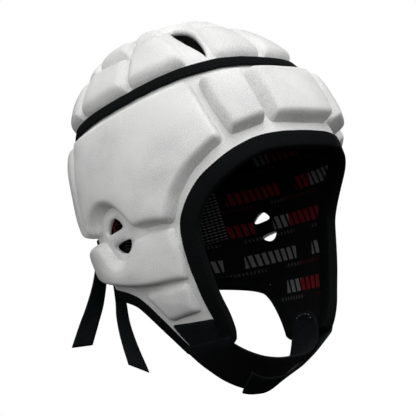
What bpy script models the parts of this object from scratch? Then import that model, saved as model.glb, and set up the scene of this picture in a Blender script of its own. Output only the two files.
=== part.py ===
# Soft padded sports headgear: a crown cap and a head wrap of laminated fabric, both set with
# raised foam pads, a ring of tape over their seam, bound edges, and a two-part chin strap.
# Lengths are in metres. The form is drawn level with its own seams, and one empty then
# rakes the whole part to the way it sits on an upright head: front -Y, wearer's left +X.
import bpy
import bmesh
import math
import numpy as np
from mathutils import Matrix, Vector

for old in list(bpy.data.objects):
    bpy.data.objects.remove(old, do_unlink=True)

# Head form, measured on the inner face of the lining
HALF_WIDTH = 0.0785
FRONT_REACH = 0.093
BACK_REACH = 0.075
CROWN_LEVEL = 0.130
WIDEST_LEVEL = 0.009
CHIN_LEVEL = -0.095
FORM_CENTRE_Y = -0.0095
SECTION_POWER = 2.45
CROWN_POWER = 0.816
CROWN_FRONT_SLOPE = 0.13
CROWN_BACK_SLOPE = -0.13
WIDTH_TAPER = 0.376
FRONT_TAPER = 0.129
BACK_TAPER = 0.053
RAKE = math.radians(11)

# Turns and limits that keep the form's normals defined at the apex and the widest level
NORMAL_TURN = math.radians(0.4)
APEX_LATITUDE = math.radians(89.8)
HIGHEST_LATITUDE = math.radians(89.9)
LOWEST_LATITUDE = math.radians(0.01)
CLIMB_LIMIT_SHARE = 0.9999

# Layers, outward from the head, with the gap that parts two layers
FIT_GAP = 0.0003
LINING_GAP = 0.0006
PAD_GAP = 0.0005
LINING_THICKNESS = 0.0012
SHELL_THICKNESS = 0.0028
PAD_RISE = 0.0102
PAD_CROWN = 0.0012
JAW_PAD_RISE = 0.0050
CROWN_PAD_RISE = 0.0098
PAD_DRAW_IN = 0.0022
PAD_DRAW_IN_LIMIT_SHARE = 0.3
PAD_EDGE_CREASE_SHARE = 0.4
TAPE_THICKNESS = 0.0012
SHELL_OFFSET = LINING_THICKNESS + LINING_GAP
PAD_OFFSET = SHELL_OFFSET + SHELL_THICKNESS + PAD_GAP

# Crown seam, its ring of tape, and the bound edges
SEAM_LEVEL = 0.084
SEAM_GAP = 0.0014
RING_WIDTH = 0.0080
RING_THICKNESS = 0.0016
FACE_BINDING_WIDTH = 0.0105
HEM_BINDING_WIDTH = 0.0072
BINDING_GAP = 0.0006
REAR_SLIT_WIDTH = 0.0080

# Chin strap
STRAP_THICKNESS = 0.0016
STRAP_SEW_GAP = 0.0009
PATCH_THICKNESS = 0.0018
HOOK_TAPE_THICKNESS = 0.0011
STRAP_OFFSET = PAD_OFFSET + PATCH_THICKNESS / 2

# Adjusting tapes at the nape
NAPE_TAPE_WIDTH = 0.0120
NAPE_TAPE_THICKNESS = 0.0011
KEEPER_WIDTH = 0.0100
KEEPER_THICKNESS = 0.0012
KEEPER_MARGIN = 0.0030
TAIL_WIDTH = 0.0155
TAIL_GAP = 0.0006

# Cell sizes of the cut cloth and of the swept tapes
CLOTH_CELL = 0.0120
EDGE_STEP = 0.0060
TAPE_STEP = 0.0085
CUT_OVERRUN = 0.004
RING_STEPS = 56
RING_SIDES = 8
RING_ROUND_POWER = 0.6
CURVE_STEPS = 4
MERGE = 0.00002


def collection(name):
    made = bpy.data.collections.new(name)
    bpy.context.scene.collection.children.link(made)
    return made


PARTS = collection("flag_football_headgear")
CUTTERS = collection("cutters")


def material(name, colour, roughness, sheen=0.0):
    made = bpy.data.materials.new(name)
    made.use_nodes = True
    shader = made.node_tree.nodes["Principled BSDF"]
    shader.inputs["Base Color"].default_value = (*colour, 1)
    shader.inputs["Roughness"].default_value = roughness
    shader.inputs["Metallic"].default_value = 0.0
    shader.inputs["Sheen Weight"].default_value = sheen
    return made


WHITE_FABRIC = ("white_laminated_knit", (0.80, 0.80, 0.80), 0.70, 0.15)
PAD_FABRIC = ("white_pad_knit", (0.82, 0.82, 0.82), 0.68, 0.15)
BLACK_LINING = ("black_lining_knit", (0.012, 0.012, 0.014), 0.80, 0.25)
BLACK_BINDING = ("black_ribbed_binding", (0.010, 0.010, 0.011), 0.75, 0.10)
BLACK_LOOP = ("black_brushed_loop", (0.008, 0.008, 0.009), 0.95, 0.40)
BLACK_HOOK = ("black_hook_tape", (0.022, 0.023, 0.021), 0.60, 0.0)
BLACK_TAPE = ("black_flat_tape", (0.011, 0.012, 0.013), 0.65, 0.05)


# The rake empty carries every part, with the inside of the crown at the world's origin
rake = bpy.data.objects.new("shell_rake", None)
PARTS.objects.link(rake)
rake.rotation_euler = (-RAKE, 0, 0)
rake.location = -(Matrix.Rotation(-RAKE, 3, "X") @ Vector((0, FORM_CENTRE_Y, CROWN_LEVEL)))


def place(name, mesh, look, parent=rake):
    """Add one named part, smooth where it is round, in its own material."""
    mesh.name = name
    part = bpy.data.objects.new(name, mesh)
    PARTS.objects.link(part)
    part.parent = parent
    mesh.materials.clear()
    mesh.materials.append(material(name + "_" + look[0], *look[1:]))
    mesh.shade_smooth()
    mesh.set_sharp_from_angle(angle=math.radians(40))
    return part


def evaluated(maker):
    """The mesh of an object as its modifiers leave it; the object is then removed."""
    bpy.context.view_layer.update()
    depsgraph = bpy.context.evaluated_depsgraph_get()
    mesh = bpy.data.meshes.new_from_object(maker.evaluated_get(depsgraph))
    bpy.data.objects.remove(maker, do_unlink=True)
    return mesh


def tidied(mesh):
    """Weld a mesh's loose seams and turn its faces outward."""
    work = bmesh.new()
    work.from_mesh(mesh)
    bmesh.ops.remove_doubles(work, verts=work.verts, dist=MERGE)
    bmesh.ops.recalc_face_normals(work, faces=work.faces)
    work.to_mesh(mesh)
    work.free()
    return mesh


def form_point(angle, latitude, level):
    """A point of the head form; latitude counts above the widest level, level below it."""
    rise = np.maximum(np.sin(latitude), 0)
    drawn = np.maximum(np.cos(latitude), 0) ** CROWN_POWER
    drop = np.clip((WIDEST_LEVEL - level) / (WIDEST_LEVEL - CHIN_LEVEL), 0, None) ** 2
    across = HALF_WIDTH * drawn * (1 - WIDTH_TAPER * drop)
    front = FRONT_REACH * drawn * (1 - CROWN_FRONT_SLOPE * rise) * (1 - FRONT_TAPER * drop)
    back = BACK_REACH * drawn * (1 - CROWN_BACK_SLOPE * rise) * (1 - BACK_TAPER * drop)
    along = np.where(np.cos(angle) > 0, front, back)
    side_share = np.abs(np.sin(angle) / across) ** SECTION_POWER
    end_share = np.abs(np.cos(angle) / along) ** SECTION_POWER
    radius = (side_share + end_share) ** (-1 / SECTION_POWER)
    height = WIDEST_LEVEL + (CROWN_LEVEL - WIDEST_LEVEL) * rise ** CROWN_POWER
    height = np.where(latitude > 0, height, level)
    return np.stack([radius * np.sin(angle), FORM_CENTRE_Y - radius * np.cos(angle), height], -1)


def offset_point(angle, latitude, level, offset):
    """The point of the form, moved out along the form's normal."""
    turn = NORMAL_TURN
    step = turn * HALF_WIDTH
    above = latitude > 0
    near = form_point(angle, latitude, level)
    around = form_point(angle + turn, latitude, level) - form_point(angle - turn, latitude, level)
    high = np.where(above, np.minimum(latitude + turn, HIGHEST_LATITUDE), latitude)
    low = np.where(above, np.maximum(latitude - turn, LOWEST_LATITUDE), latitude)
    up = form_point(angle, high, level + step) - form_point(angle, low, level - step)
    normal = np.cross(around, up)
    normal /= np.linalg.norm(normal, axis=-1, keepdims=True)
    return near + normal * np.asarray(offset)[..., None]


def wrap_map(flat):
    """Wrap pattern to form: x is the arc at the widest level, y the level, z the offset."""
    angle = flat[:, 0] / HALF_WIDTH
    climb = (flat[:, 1] - WIDEST_LEVEL) / (CROWN_LEVEL - WIDEST_LEVEL)
    climb = np.clip(climb, 0, CLIMB_LIMIT_SHARE)
    latitude = np.arcsin(climb ** (1 / CROWN_POWER))
    return offset_point(angle, latitude, np.minimum(flat[:, 1], WIDEST_LEVEL), flat[:, 2])


def crown_map(flat):
    """Crown pattern to form: the pattern is the dome seen from above, spread by latitude."""
    angle = np.arctan2(flat[:, 0], -flat[:, 1])
    from_top = np.hypot(flat[:, 0], flat[:, 1]) / HALF_WIDTH
    latitude = np.minimum(math.pi / 2 - from_top, APEX_LATITUDE)
    return offset_point(angle, latitude, np.full(len(flat), WIDEST_LEVEL), flat[:, 2])


def on_form(mesh, mapping):
    """Move each vertex of a flat pattern piece on to the head form."""
    flat = np.empty(len(mesh.vertices) * 3)
    mesh.vertices.foreach_get("co", flat)
    mesh.vertices.foreach_set("co", mapping(flat.reshape(-1, 3)).ravel())
    mesh.update()
    return tidied(mesh)


def wrap_flat(degrees, level_share):
    """Pattern point of the wrap from an angle round the head and a share of the crown level."""
    return math.radians(degrees) * HALF_WIDTH, level_share * CROWN_LEVEL


def crown_flat(degrees, latitude):
    """Pattern point of the crown from an angle round the head and a latitude in degrees."""
    reach = math.radians(90 - latitude) * HALF_WIDTH
    return reach * math.sin(math.radians(degrees)), -reach * math.cos(math.radians(degrees))


def smooth_line(points, steps, closed=False):
    """A Catmull-Rom curve through the points, with the given steps from one to the next."""
    given = [Vector(point) for point in points]
    if closed:
        given = [given[-1]] + given + given[:2]
    else:
        given = [given[0] * 2 - given[1]] + given + [given[-1] * 2 - given[-2]]
    line = []
    for before, start, end, after in zip(given, given[1:], given[2:], given[3:]):
        for step in range(steps):
            t = step / steps
            bend = (before * -1 + start * 3 - end * 3 + after) * t ** 3
            bend += (before * 2 - start * 5 + end * 4 - after) * t ** 2
            line.append((bend + (end - before) * t + start * 2) / 2)
    if not closed:
        line.append(given[-2])
    return line


def even_line(points, spacing):
    """The same line with its points about one spacing apart, ends kept."""
    lengths = [0.0]
    for start, end in zip(points, points[1:]):
        lengths.append(lengths[-1] + (end - start).length)
    count = max(2, round(lengths[-1] / spacing) + 1)
    marks = np.linspace(0, lengths[-1], count)
    columns = [np.interp(marks, lengths, [point[axis] for point in points])
               for axis in range(len(points[0]))]
    return [Vector(values) for values in zip(*columns)]


def poly_curve(name, outlines, closed, dimensions="2D"):
    """A curve object of straight-sided splines through the given flat points."""
    curve = bpy.data.curves.new(name, "CURVE")
    curve.dimensions = dimensions
    for outline in outlines:
        spline = curve.splines.new("POLY")
        spline.points.add(len(outline) - 1)
        for point, (x, y) in zip(spline.points, [(p[0], p[1]) for p in outline]):
            point.co = (x, y, 0, 1)
        spline.use_cyclic_u = closed
    made = bpy.data.objects.new(name, curve)
    CUTTERS.objects.link(made)
    return made


def cloth(name, outlines, low, high, look, mapping=wrap_map, parent=rake):
    """A cloth panel: a slab of square cells cut to its flat outlines, laid on the form."""
    pattern = poly_curve(name + "_pattern", outlines, True)
    pattern.data.fill_mode = "BOTH"
    pattern.data.extrude = (high - low) + CUT_OVERRUN
    cutter = bpy.data.objects.new(name + "_cutter", tidied(evaluated(pattern)))
    CUTTERS.objects.link(cutter)
    cutter.hide_render = True
    cutter.display_type = "WIRE"
    cutter.location.z = low
    corners = np.array([(point[0], point[1]) for point in outlines[0]])
    lowest = (np.floor(corners.min(axis=0) / CLOTH_CELL) - 1) * CLOTH_CELL
    highest = (np.ceil(corners.max(axis=0) / CLOTH_CELL) + 1) * CLOTH_CELL
    size = highest - lowest
    columns, rows = (round(length / CLOTH_CELL) for length in size)
    work = bmesh.new()
    bmesh.ops.create_grid(work, x_segments=columns, y_segments=rows, size=0.5)
    for corner in work.verts:
        corner.co.x = lowest[0] + (corner.co.x + 0.5) * size[0]
        corner.co.y = lowest[1] + (corner.co.y + 0.5) * size[1]
        corner.co.z = low
    mesh = bpy.data.meshes.new(name + "_sheet")
    work.to_mesh(mesh)
    work.free()
    sheet = bpy.data.objects.new(name + "_sheet", mesh)
    CUTTERS.objects.link(sheet)
    thicken = sheet.modifiers.new("thickness", "SOLIDIFY")
    thicken.thickness = high - low
    thicken.offset = 1.0
    cut = sheet.modifiers.new("pattern", "BOOLEAN")
    cut.operation = "INTERSECT"
    cut.object = cutter
    mesh = evaluated(sheet)
    bpy.data.objects.remove(cutter, do_unlink=True)
    return place(name, on_form(mesh, mapping), look, parent)


def pad(name, ribs, rows, flat, rise, look, mapping=wrap_map, offset=PAD_OFFSET):
    """A foam pad: a subdivided cage over its flat ribs, crowned, with drawn-in sides."""
    lines = [[Vector(flat(*end)) for end in rib] for rib in ribs]
    columns = len(lines) - 1
    mean_length = sum((rib[1] - rib[0]).length for rib in lines) / len(lines)
    middles = [(rib[0] + rib[1]) / 2 for rib in lines]
    mean_width = sum((b - a).length for a, b in zip(middles, middles[1:]))
    inset_across = min(PAD_DRAW_IN / mean_width, PAD_DRAW_IN_LIMIT_SHARE) * columns
    inset_along = min(PAD_DRAW_IN / mean_length, PAD_DRAW_IN_LIMIT_SHARE) * rows

    def at(column, row):
        start = min(int(column), columns - 1)
        share = column - start
        foot = lines[start][0].lerp(lines[start + 1][0], share)
        head = lines[start][1].lerp(lines[start + 1][1], share)
        return foot.lerp(head, row / rows)

    work = bmesh.new()
    layers = []
    for layer in (0, 1):
        grid = []
        for column in range(columns + 1):
            for row in range(rows + 1):
                c = min(max(column, layer * inset_across), columns - layer * inset_across)
                r = min(max(row, layer * inset_along), rows - layer * inset_along)
                inner = 0 < column < columns and 0 < row < rows
                height = offset + layer * (rise + (PAD_CROWN if inner else 0))
                grid.append(work.verts.new((*at(c, r), height)))
        layers.append(grid)
    crease = work.edges.layers.float.new("crease_edge")
    index = [[column * (rows + 1) + row for row in range(rows + 1)] for column in range(columns + 1)]
    for column in range(columns):
        for row in range(rows):
            ring = (index[column][row], index[column + 1][row],
                    index[column + 1][row + 1], index[column][row + 1])
            work.faces.new([layers[0][i] for i in reversed(ring)])
            work.faces.new([layers[1][i] for i in ring])
    rim = [index[column][0] for column in range(columns)]
    rim += [index[columns][row] for row in range(rows)]
    rim += [index[column][rows] for column in range(columns, 0, -1)]
    rim += [index[0][row] for row in range(rows, 0, -1)]
    for start, end in zip(rim, rim[1:] + rim[:1]):
        work.faces.new((layers[0][start], layers[0][end], layers[1][end], layers[1][start]))
        work.edges.get((layers[0][start], layers[0][end]))[crease] = 1.0
        work.edges.get((layers[1][start], layers[1][end]))[crease] = PAD_EDGE_CREASE_SHARE
    mesh = bpy.data.meshes.new(name + "_cage")
    work.to_mesh(mesh)
    work.free()
    cage = bpy.data.objects.new(name + "_cage", mesh)
    CUTTERS.objects.link(cage)
    smooth = cage.modifiers.new("soft", "SUBSURF")
    smooth.levels = 1
    smooth.render_levels = 1
    return place(name, on_form(evaluated(cage), mapping), look)


def binding(name, line, width, side, look):
    """Folded tape over a raw edge: a U section swept along the flat edge line."""
    outer = PAD_OFFSET
    web = FIT_GAP + TAPE_THICKNESS
    inner = -BINDING_GAP
    section = [(-web, outer + TAPE_THICKNESS), (width, outer + TAPE_THICKNESS),
               (width, outer), (-FIT_GAP, outer), (-FIT_GAP, inner), (width, inner),
               (width, inner - TAPE_THICKNESS), (-web, inner - TAPE_THICKNESS)]
    return swept(name, line, [(side * x, y) for x, y in section], look)


def swept(name, line, section, look, mapping=wrap_map, parent=rake):
    """A closed section swept along a flat line and laid on the form."""
    profile = poly_curve(name + "_section", [section], True)
    path = poly_curve(name + "_line", [line], False, "3D")
    path.data.twist_mode = "Z_UP"
    path.data.bevel_mode = "OBJECT"
    path.data.bevel_object = profile
    path.data.use_fill_caps = True
    mesh = evaluated(path)
    bpy.data.objects.remove(profile, do_unlink=True)
    return place(name, on_form(tidied(mesh), mapping), look, parent)


def ribbon(name, rows, thickness, look, parent, origin):
    """A strap: an open sheet through rows of points, thickened both ways about its middle."""
    work = bmesh.new()
    corners = [[work.verts.new(point - origin) for point in row] for row in rows]
    for before, after in zip(corners, corners[1:]):
        for k in range(len(before) - 1):
            work.faces.new((before[k], before[k + 1], after[k + 1], after[k]))
    mesh = bpy.data.meshes.new(name)
    work.to_mesh(mesh)
    work.free()
    sheet = bpy.data.objects.new(name + "_sheet", mesh)
    CUTTERS.objects.link(sheet)
    thicken = sheet.modifiers.new("thickness", "SOLIDIFY")
    thicken.thickness = thickness
    thicken.offset = 0.0
    thicken.use_even_offset = True
    return place(name, tidied(evaluated(sheet)), look, parent)


def mirrored(outline):
    """The same outline on the other side of the head."""
    return [tuple((-end[0], end[1]) for end in rib) for rib in outline]


def mirrored_points(points):
    return [(-degrees, level) for degrees, level in points]


# Edge lines of the wrap on the wearer's left, in degrees from the front and level shares
FACE_EDGE_SHARES = [(0, 0.146), (10, 0.147), (24, 0.145), (32, 0.125), (39, 0.095), (47, 0.05),
                    (53, 0), (58, -0.06), (61.5, -0.13), (63, -0.24), (63.5, -0.36),
                    (63.5, -0.48), (62.5, -0.58), (63, -0.66), (65, -0.70)]
HEM_EDGE_SHARES = [(104, -0.665), (108, -0.53), (113.5, -0.38), (119, -0.305), (131, -0.25),
                   (145, -0.215), (162, -0.20), (180, -0.195)]

face_edge = even_line(smooth_line([wrap_flat(*point) for point in FACE_EDGE_SHARES],
                                  CURVE_STEPS), EDGE_STEP)
hem_line = smooth_line([wrap_flat(*point) for point in HEM_EDGE_SHARES], CURVE_STEPS)


def flipped(line):
    return [Vector((-point[0], point[1])) for point in line]


def wrap_outline():
    """The whole wrap as one flat outline, with its two ends parted by the nape's slit."""
    rear = math.pi * HALF_WIDTH - REAR_SLIT_WIDTH / 2
    top = SEAM_LEVEL - SEAM_GAP / 2
    left_side = [point for point in hem_line if point[0] < rear]
    left_side.append(Vector((rear, hem_line[-1][1])))
    half = face_edge[1:] + even_line(left_side, EDGE_STEP)
    right_half = flipped(half)
    return half + [Vector((rear, top)), Vector((-rear, top))] + right_half[::-1] + face_edge[:1]


# Ear vents: a rounded triangle over and under a bridge, on both sides
EAR_VENT_UPPER_SHARES = [(97.5, 0.045), (98.5, 0.065), (101.5, 0.095), (104.5, 0.105),
                         (107.5, 0.09), (111.5, 0.06), (112, 0.045), (110, 0.038), (104, 0.036),
                         (99, 0.037)]
EAR_VENT_LOWER_SHARES = [(97.5, -0.036), (102, -0.030), (109, -0.030), (111, -0.036),
                         (110, -0.06), (107, -0.085), (103.5, -0.098), (100.5, -0.09),
                         (98, -0.065)]


def vent_outlines():
    outlines = []
    for shares in (EAR_VENT_UPPER_SHARES, EAR_VENT_LOWER_SHARES):
        outlines.append([wrap_flat(*point) for point in shares])
        outlines.append([wrap_flat(*point) for point in mirrored_points(shares)])
    return outlines


cloth("wrap_lining", [wrap_outline()] + vent_outlines(), 0.0, LINING_THICKNESS, BLACK_LINING)
cloth("wrap_shell", [wrap_outline()] + vent_outlines(), SHELL_OFFSET,
      SHELL_OFFSET + SHELL_THICKNESS, WHITE_FABRIC)


# Crown: a round cap of lining and shell, with a leaf-shaped vent through both on each side
def seam_latitude(level):
    climb = (level - WIDEST_LEVEL) / (CROWN_LEVEL - WIDEST_LEVEL)
    return math.degrees(math.asin(climb ** (1 / CROWN_POWER)))


CROWN_EDGE_SIDES = 48
CROWN_VENT_DEGREES = [(37.5, 38.5), (40.5, 46), (43.5, 53), (45.5, 60), (44, 67), (39, 70.5),
                      (33, 69), (33.5, 62), (35, 54), (36, 46)]


def crown_edge():
    rim = seam_latitude(SEAM_LEVEL + SEAM_GAP / 2)
    return [crown_flat(360 * k / CROWN_EDGE_SIDES, rim) for k in range(CROWN_EDGE_SIDES)]


def crown_vents():
    return [[crown_flat(degrees * side, latitude) for degrees, latitude in CROWN_VENT_DEGREES]
            for side in (1, -1)]


cloth("crown_lining", [crown_edge()] + crown_vents(), 0.0, LINING_THICKNESS, BLACK_LINING,
      crown_map)
cloth("crown_shell", [crown_edge()] + crown_vents(), SHELL_OFFSET,
      SHELL_OFFSET + SHELL_THICKNESS, WHITE_FABRIC, crown_map)


# Ring of tape over the crown seam: a torus pressed to a flat band on the form
def crown_ring():
    bpy.ops.mesh.primitive_torus_add(major_segments=RING_STEPS, minor_segments=RING_SIDES,
                                     major_radius=HALF_WIDTH, minor_radius=RING_THICKNESS)
    torus = bpy.context.object
    mesh = torus.data.copy()
    bpy.data.objects.remove(torus, do_unlink=True)
    flat = np.array([vertex.co[:] for vertex in mesh.vertices])
    turn = np.arctan2(flat[:, 0], -flat[:, 1])
    outward = (np.hypot(flat[:, 0], flat[:, 1]) - HALF_WIDTH) / RING_THICKNESS
    upward = flat[:, 2] / RING_THICKNESS
    bulge = np.sign(outward) * np.abs(outward) ** RING_ROUND_POWER
    spread = np.sign(upward) * np.abs(upward) ** RING_ROUND_POWER
    flat[:, 0] = turn * HALF_WIDTH
    flat[:, 1] = SEAM_LEVEL + spread * RING_WIDTH / 2
    flat[:, 2] = PAD_OFFSET + (1 + bulge) * RING_THICKNESS / 2
    mesh.vertices.foreach_set("co", wrap_map(flat).ravel())
    place("crown_ring", tidied(mesh), BLACK_BINDING)


crown_ring()

# Foam pads of the wrap, each a list of ribs from its lower to its upper edge
FRONT_PAD = [((-21, 0.32), (-25, 0.585)), ((-10, 0.33), (-12, 0.585)), ((0, 0.33), (0, 0.585)),
             ((10, 0.33), (12, 0.585)), ((21, 0.32), (25, 0.585))]
TEMPLE_PAD = [((23.5, 0.29), (28, 0.585)), ((30, 0.26), (37, 0.585)), ((37.5, 0.235), (47, 0.585))]
SIDE_PAD = [((41, 0.235), (50, 0.585)), ((50, 0.175), (60, 0.585)), ((60, 0.085), (72, 0.585)),
            ((68, -0.055), (83, 0.585)), ((79, -0.045), (90, 0.585)), ((91, -0.03), (98, 0.585)),
            ((95.5, 0.11), (106, 0.585)), ((106, 0.185), (112, 0.585)), ((116.5, 0.12), (118, 0.585)),
            ((121, 0.045), (123, 0.585))]
REAR_PAD = [((123.5, 0.045), (125.5, 0.585)), ((136, 0.122), (139, 0.585)),
            ((150, 0.138), (155, 0.585)), ((172, 0.138), (175, 0.585))]
CHEEK_PAD = [((73.5, -0.335), (72.5, -0.085)), ((82, -0.31), (83, -0.075)),
             ((90, -0.295), (92.5, -0.065)), ((99, -0.28), (97, -0.125)),
             ((108, -0.25), (108, -0.165)), ((119, -0.215), (116.5, -0.085)),
             ((130, -0.185), (124, 0.015)), ((141, -0.15), (139, 0.02))]
JAW_PAD = [((76, -0.49), (77, -0.355)), ((86, -0.475), (87.5, -0.335)),
           ((96.5, -0.46), (100, -0.315))]

pad("front_pad", FRONT_PAD, 3, wrap_flat, PAD_RISE, PAD_FABRIC)
for side_name, side in (("left", 1), ("right", -1)):
    for pad_name, ribs, rows, rise in (("temple_pad", TEMPLE_PAD, 3, PAD_RISE),
                                       ("side_pad", SIDE_PAD, 4, PAD_RISE),
                                       ("rear_pad", REAR_PAD, 4, PAD_RISE),
                                       ("cheek_pad", CHEEK_PAD, 2, PAD_RISE),
                                       ("jaw_pad", JAW_PAD, 2, JAW_PAD_RISE)):
        shaped = ribs if side == 1 else mirrored(ribs)
        pad(pad_name + "_" + side_name, shaped, rows, wrap_flat, rise, PAD_FABRIC)

# Foam pads of the crown, by angle and latitude: a lower row, an upper row and the top
CROWN_LOWER_PADS = [((0.7, 34), (55, 61)), ((46, 76.3), (58, 54)),
                    ((77.7, 116.3), (53.2, 48)), ((117.7, 179.2), (47.5, 45.2))]
CROWN_UPPER_PADS = [((48.5, 76.5), (59.7, 55.5)), ((78.5, 117.7), (54.7, 49.5)),
                    ((119.7, 178.5), (49, 46.7))]
CROWN_UPPER_TOP_LATITUDE = 69.5
CROWN_PAD_FOOT_LEVEL = SEAM_LEVEL + RING_WIDTH / 2 + FIT_GAP * 2
CROWN_FRONT_PAD_TOP = (66, 67)
LONG_PAD_DEGREES = 50
LONG_PAD_COLUMNS = 4
PAD_COLUMNS = 3
PAD_ROWS = 2


def crown_row(name, start, end, low, high, columns):
    """A crown pad between two angles; low and high each give a latitude at both ends."""
    ribs = []
    for k in range(columns + 1):
        share = k / columns
        angle = start + (end - start) * share
        foot = low[0] + (low[1] - low[0]) * share
        head = high[0] + (high[1] - high[0]) * share
        ribs.append(((angle, foot), (angle, head)))
    pad(name, ribs, PAD_ROWS, crown_flat, CROWN_PAD_RISE, PAD_FABRIC, crown_map)


foot_latitude = seam_latitude(CROWN_PAD_FOOT_LEVEL)
for side_name, side in (("left", 1), ("right", -1)):
    for number, (angles, tops) in enumerate(CROWN_LOWER_PADS, 1):
        heads = CROWN_FRONT_PAD_TOP if number == 1 else tops
        columns = LONG_PAD_COLUMNS if angles[1] - angles[0] > LONG_PAD_DEGREES else PAD_COLUMNS
        crown_row("crown_pad_%s_%d" % (side_name, number), angles[0] * side, angles[1] * side,
                  (foot_latitude, foot_latitude), heads, columns)
    for number, (angles, feet) in enumerate(CROWN_UPPER_PADS, 1):
        tops = (CROWN_UPPER_TOP_LATITUDE, CROWN_UPPER_TOP_LATITUDE)
        columns = LONG_PAD_COLUMNS if angles[1] - angles[0] > LONG_PAD_DEGREES else PAD_COLUMNS
        crown_row("upper_pad_%s_%d" % (side_name, number), angles[0] * side, angles[1] * side,
                  feet, tops, columns)

# The top pad's ribs run over the apex, from its rear edge to its front edge
TOP_PAD = [((-116, 72), (-68, 72.5)), ((-151, 71.8), (-30, 73.2)), ((180, 71.5), (0, 70.8)),
           ((151, 71.8), (30, 73.2)), ((116, 72), (68, 72.5))]
TOP_PAD_ROWS = 4

pad("top_pad", TOP_PAD, TOP_PAD_ROWS, crown_flat, CROWN_PAD_RISE, PAD_FABRIC, crown_map)


# Bindings: one runs round the face opening from tip to tip, one along each half of the hem
def hem_edge(side):
    rear = math.pi * HALF_WIDTH - REAR_SLIT_WIDTH / 2
    line = [point for point in even_line(hem_line, EDGE_STEP) if point[0] < rear]
    return [Vector((side * point[0], point[1])) for point in line]


face_path = face_edge[::-1] + flipped(face_edge)[1:]
binding("face_binding", face_path, FACE_BINDING_WIDTH, 1, BLACK_BINDING)
binding("hem_binding_left", hem_edge(1), HEM_BINDING_WIDTH, -1, BLACK_BINDING)
binding("hem_binding_right", hem_edge(-1), HEM_BINDING_WIDTH, 1, BLACK_BINDING)


# Chin flaps: a loop panel on the right flap, the hook strap's sewn end on the left one
FLAP_TIP_DEGREES = (FACE_EDGE_SHARES[-1][0], HEM_EDGE_SHARES[0][0])
FLAP_TIP_LEVEL_SHARES = (FACE_EDGE_SHARES[-1][1], HEM_EDGE_SHARES[0][1])
PATCH_FOOT_DEGREES = (73.5, 98)
PATCH_HEAD_SHARES = [(101, -0.512), (87, -0.538), (73.5, -0.562)]
STRAP_FOOT_DEGREES = (66.5, 102.5)


def flap_tip_share(degrees):
    return float(np.interp(degrees, FLAP_TIP_DEGREES, FLAP_TIP_LEVEL_SHARES))


def patch_outline(side):
    foot = [(degrees, flap_tip_share(degrees)) for degrees in PATCH_FOOT_DEGREES]
    return [wrap_flat(degrees * side, share) for degrees, share in foot + PATCH_HEAD_SHARES]


cloth("loop_panel", [patch_outline(-1)], PAD_OFFSET, PAD_OFFSET + PATCH_THICKNESS, BLACK_LOOP)
cloth("hook_strap_anchor", [patch_outline(1)], PAD_OFFSET, PAD_OFFSET + PATCH_THICKNESS,
      BLACK_TAPE)

# Chin straps: each hangs from its flap's tip, so that every row is a hanging curve's point.
# A middle is given as shares of the front reach and of the crown level.
LOOP_FRONT_MIDDLE_SHARE = (-0.253, -0.838)
LOOP_REAR_MIDDLE_SHARE = (0.113, -0.931)
HOOK_FRONT_MIDDLE_SHARE = (-0.296, -0.903)
HOOK_REAR_MIDDLE_SHARE = (0.124, -0.953)
LOOP_POWERS = (2.2, 2.0)
HOOK_POWERS = (1.8, 2.2)
BOW_FADE_POWER = 6
HOOK_END_SHARE = -0.29
HOOK_TAPE_SHARES = (-0.25, 0.14)
HOOK_TAPE_ACROSS_SHARES = (0.22, 0.8)
STRAP_COLUMNS = 4
STRAP_STEPS = 14

# The loop strap's far half rises inside the left flap to a rounded end: front and rear
# edge, as shares of the half width, the front reach and the crown level
LOOP_FAR_SHARES = [((0.153, -0.253, -0.832), (0.140, 0.102, -0.909)),
                   ((0.306, -0.247, -0.815), (0.268, 0.078, -0.865)),
                   ((0.446, -0.239, -0.783), (0.382, 0.054, -0.815)),
                   ((0.535, -0.231, -0.738), (0.478, 0.033, -0.762)),
                   ((0.580, -0.231, -0.677), (0.554, 0.022, -0.700)),
                   ((0.592, -0.215, -0.619), (0.586, -0.016, -0.623)),
                   ((0.592, -0.167, -0.581), (0.592, -0.075, -0.581))]


def strap_place(across, along, level):
    return Vector((across * HALF_WIDTH, FORM_CENTRE_Y + along * FRONT_REACH, level * CROWN_LEVEL))


def flap_tip(degrees, drop, offset):
    """A point just under a flap's lower edge, at the given offset from the form."""
    level = flap_tip_share(abs(degrees)) * CROWN_LEVEL - drop
    flat = np.array([[math.radians(degrees) * HALF_WIDTH, level, offset]])
    return Vector(wrap_map(flat)[0])


def hanging(tip, middle, power, share):
    rise = abs(share) ** power
    return Vector((tip.x * share, middle.y + (tip.y - middle.y) * rise,
                   middle.z + (tip.z - middle.z) * rise))


def strap_rows(side, middles, powers, end_share, across=(0, 1), start_share=1):
    """Rows of a strap from its flap's tip past the chin, bowed at the tip as the flap is."""
    tips = [flap_tip(side * degrees, STRAP_SEW_GAP, STRAP_OFFSET) for degrees in STRAP_FOOT_DEGREES]
    centre = flap_tip(side * sum(STRAP_FOOT_DEGREES) / 2, STRAP_SEW_GAP, STRAP_OFFSET)
    bow = centre - (tips[0] + tips[1]) / 2
    rows = []
    for share in np.linspace(start_share, end_share, STRAP_STEPS + 1):
        front, rear = [hanging(tip, strap_place(0, *middle), power, share)
                       for tip, middle, power in zip(tips, middles, powers)]
        row = []
        for s in np.linspace(*across, STRAP_COLUMNS + 1):
            swell = 4 * s * (1 - s) * abs(share) ** BOW_FADE_POWER
            row.append(front.lerp(rear, s) + bow * swell)
        rows.append(row)
    return rows


def raised(rows, height):
    """The rows moved off along the strap's own normal, toward the head."""
    moved = []
    for k, row in enumerate(rows):
        along = rows[min(k + 1, len(rows) - 1)][0] - rows[max(k - 1, 0)][0]
        normal = along.cross(row[-1] - row[0]).normalized()
        toward = height if normal.z > 0 else -height
        moved.append([point + normal * toward for point in row])
    return moved


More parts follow.
